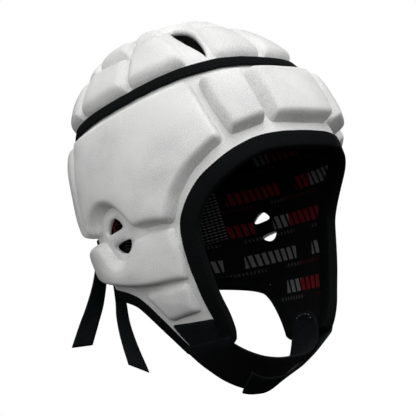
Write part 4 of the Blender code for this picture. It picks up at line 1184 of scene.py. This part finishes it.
for name, steps in TAIL_LINES.items():
    offset = TAPE_OFFSET + NAPE_TAPE_THICKNESS * 1.5 + KEEPER_LIFT + KEEPER_THICKNESS + TAIL_GAP
    arc = math.radians(KEEPER_DEGREES[name]) * HALF_WIDTH
    start, middle, end = level_map(np.array([
        (arc + KEEPER_WIDTH * part, TAPE_LEVELS[name], offset) for part in (-0.5, 0, 0.5)]))
    middle_line = smooth_line([middle] + [middle + np.array(step) * MM for step, turn in steps], 8)
    shares = np.linspace(0, 1, len(middle_line))
    turns = np.interp(shares * len(steps), range(len(steps) + 1),
                      [0] + [turn for step, turn in steps])
    first = Vector(unit(start - end))
    rows = []
    for point, turn, share in zip(middle_line, np.radians(turns), shares):
        width = NAPE_TAPE_WIDTH + (TAIL_WIDTH - NAPE_TAPE_WIDTH) * share
        across = np.array(Matrix.Rotation(-turn, 3, "Z") @ first) * width
        across[2] += math.tan(math.radians(TAIL_END_SLANT[name]) * share ** 2) * width
        rows.append([point + across * part for part in np.linspace(-0.5, 0.5, TAIL_COLUMNS + 1)])
    piece = thick_strap("tape_tail_%s_end" % name, np.array(rows), NAPE_TAPE_THICKNESS, TAIL_RIPPLE)
    finished(piece, webbing, "black_flat_tape", "tape_tail_" + name, "tape_tail_" + name)

# Studio floor: a plain pale sweep that glows evenly, so that it stays pale to its far edge.
# It lies below the straps, also when they hang open, and casts no light up on the black cloth.
FLOOR_DROP = 0.045
FLOOR_SIZE = 6.0
floor_mesh = bpy.data.meshes.new("studio_floor")
half = FLOOR_SIZE / 2
floor_level = cad_box[0].z - FLOOR_DROP
floor_mesh.from_pydata([(x * half, y * half, floor_level) for x, y in
                        ((-1, -1), (1, -1), (1, 1), (-1, 1))], [], [(0, 1, 2, 3)])
floor = bpy.data.objects.new("studio_floor", floor_mesh)
bpy.context.scene.collection.objects.link(floor)
floor_paint, tree, shader, place = fabric("pale_light_table", "#F4F4F4", roughness=0.9)
shader.inputs["Emission Color"].default_value = linear("#FFFFFF")
shader.inputs["Emission Strength"].default_value = 1.0
floor_mesh.materials.append(floor_paint)
floor.visible_diffuse = False
floor.visible_glossy = False

# Studio light: a large soft box above the wearer's right front, and weaker ones above, on the
# camera's side, behind, at the brow and at the left. The room is bright above and dark below,
# so that undersides turn grey
LAMP_SIZE = 0.9
LIGHTS = {"key_light": ((-0.35, -0.65, 1.05), 9.5), "top_light": ((0.0, 0.35, 1.3), 2.8),
          "front_light": ((-0.95, -0.75, 0.25), 5.5), "rear_light": ((-1.0, 0.6, 0.4), 4.3),
          "brow_light": ((0.45, -1.05, 0.5), 5.0), "left_light": ((1.1, 0.75, 0.35), 5.0)}
centre = (cad_box[0] + cad_box[1]) / 2
for name, (place, power) in LIGHTS.items():
    lamp = bpy.data.lights.new(name, "AREA")
    lamp.size = LAMP_SIZE
    lamp.energy = power
    holder = bpy.data.objects.new(name, lamp)
    holder.location = centre + Vector(place)
    holder.rotation_euler = (-Vector(place)).to_track_quat("-Z", "Y").to_euler()
    bpy.context.scene.collection.objects.link(holder)
ROOM_ABOVE = 0.44
ROOM_BELOW = 0.20
ROOM_FADE = (-0.25, 0.35)
room = bpy.data.worlds.new("pale_room")
room.use_nodes = True
tree = room.node_tree
heading = add(tree, "TexCoord").outputs["Generated"]
climb = add(tree, "SeparateXYZ", links={"Vector": heading}).outputs["Z"]
level = add(tree, "MapRange", {"From Min": ROOM_FADE[0], "From Max": ROOM_FADE[1],
                               "To Min": ROOM_BELOW, "To Max": ROOM_ABOVE},
            {"Value": climb}).outputs["Result"]
lit = tree.nodes["Background"]
tree.links.new(level, lit.inputs["Strength"])
wall = add(tree, "Background", {"Color": linear("#FFFFFF"), "Strength": 1.0})
seen = add(tree, "LightPath").outputs["Is Camera Ray"]
mixed = add(tree, "MixShader", links={0: seen, 1: lit.outputs[0], 2: wall.outputs[0]})
tree.links.new(mixed.outputs[0], tree.nodes["World Output"].inputs["Surface"])
bpy.context.scene.world = room
bpy.context.scene.view_settings.view_transform = "Standard"

# Camera: a long lens at the photograph's angle, aimed at the level form's own origin.
# The shift frames the headgear as the photograph does.
CAMERA_AZIMUTH = math.radians(-49.78)
CAMERA_ELEVATION = math.radians(2.35)
CAMERA_PITCH = math.radians(22.14)
CAMERA_DISTANCE = 1.2
FRAME_PIXELS = 416
FOCAL_PIXELS = 1672.85
CENTRE_PIXEL = (210.3, 226.55)
camera_turn = (Matrix.Rotation(CAMERA_PITCH - RAKE, 3, "X")
               @ Matrix.Rotation(CAMERA_AZIMUTH, 3, "Z")
               @ Matrix.Rotation(math.pi / 2 - CAMERA_ELEVATION, 3, "X"))
camera_data = bpy.data.cameras.new("photo_camera")
camera_data.lens = FOCAL_PIXELS / FRAME_PIXELS * camera_data.sensor_width
camera_data.shift_x = -(CENTRE_PIXEL[0] / FRAME_PIXELS - 0.5)
camera_data.shift_y = CENTRE_PIXEL[1] / FRAME_PIXELS - 0.5
camera = bpy.data.objects.new("photo_camera", camera_data)
camera.matrix_world = camera_turn.to_4x4()
camera.location = rake_move + camera_turn.col[2] * CAMERA_DISTANCE
bpy.context.scene.collection.objects.link(camera)
bpy.context.scene.camera = camera
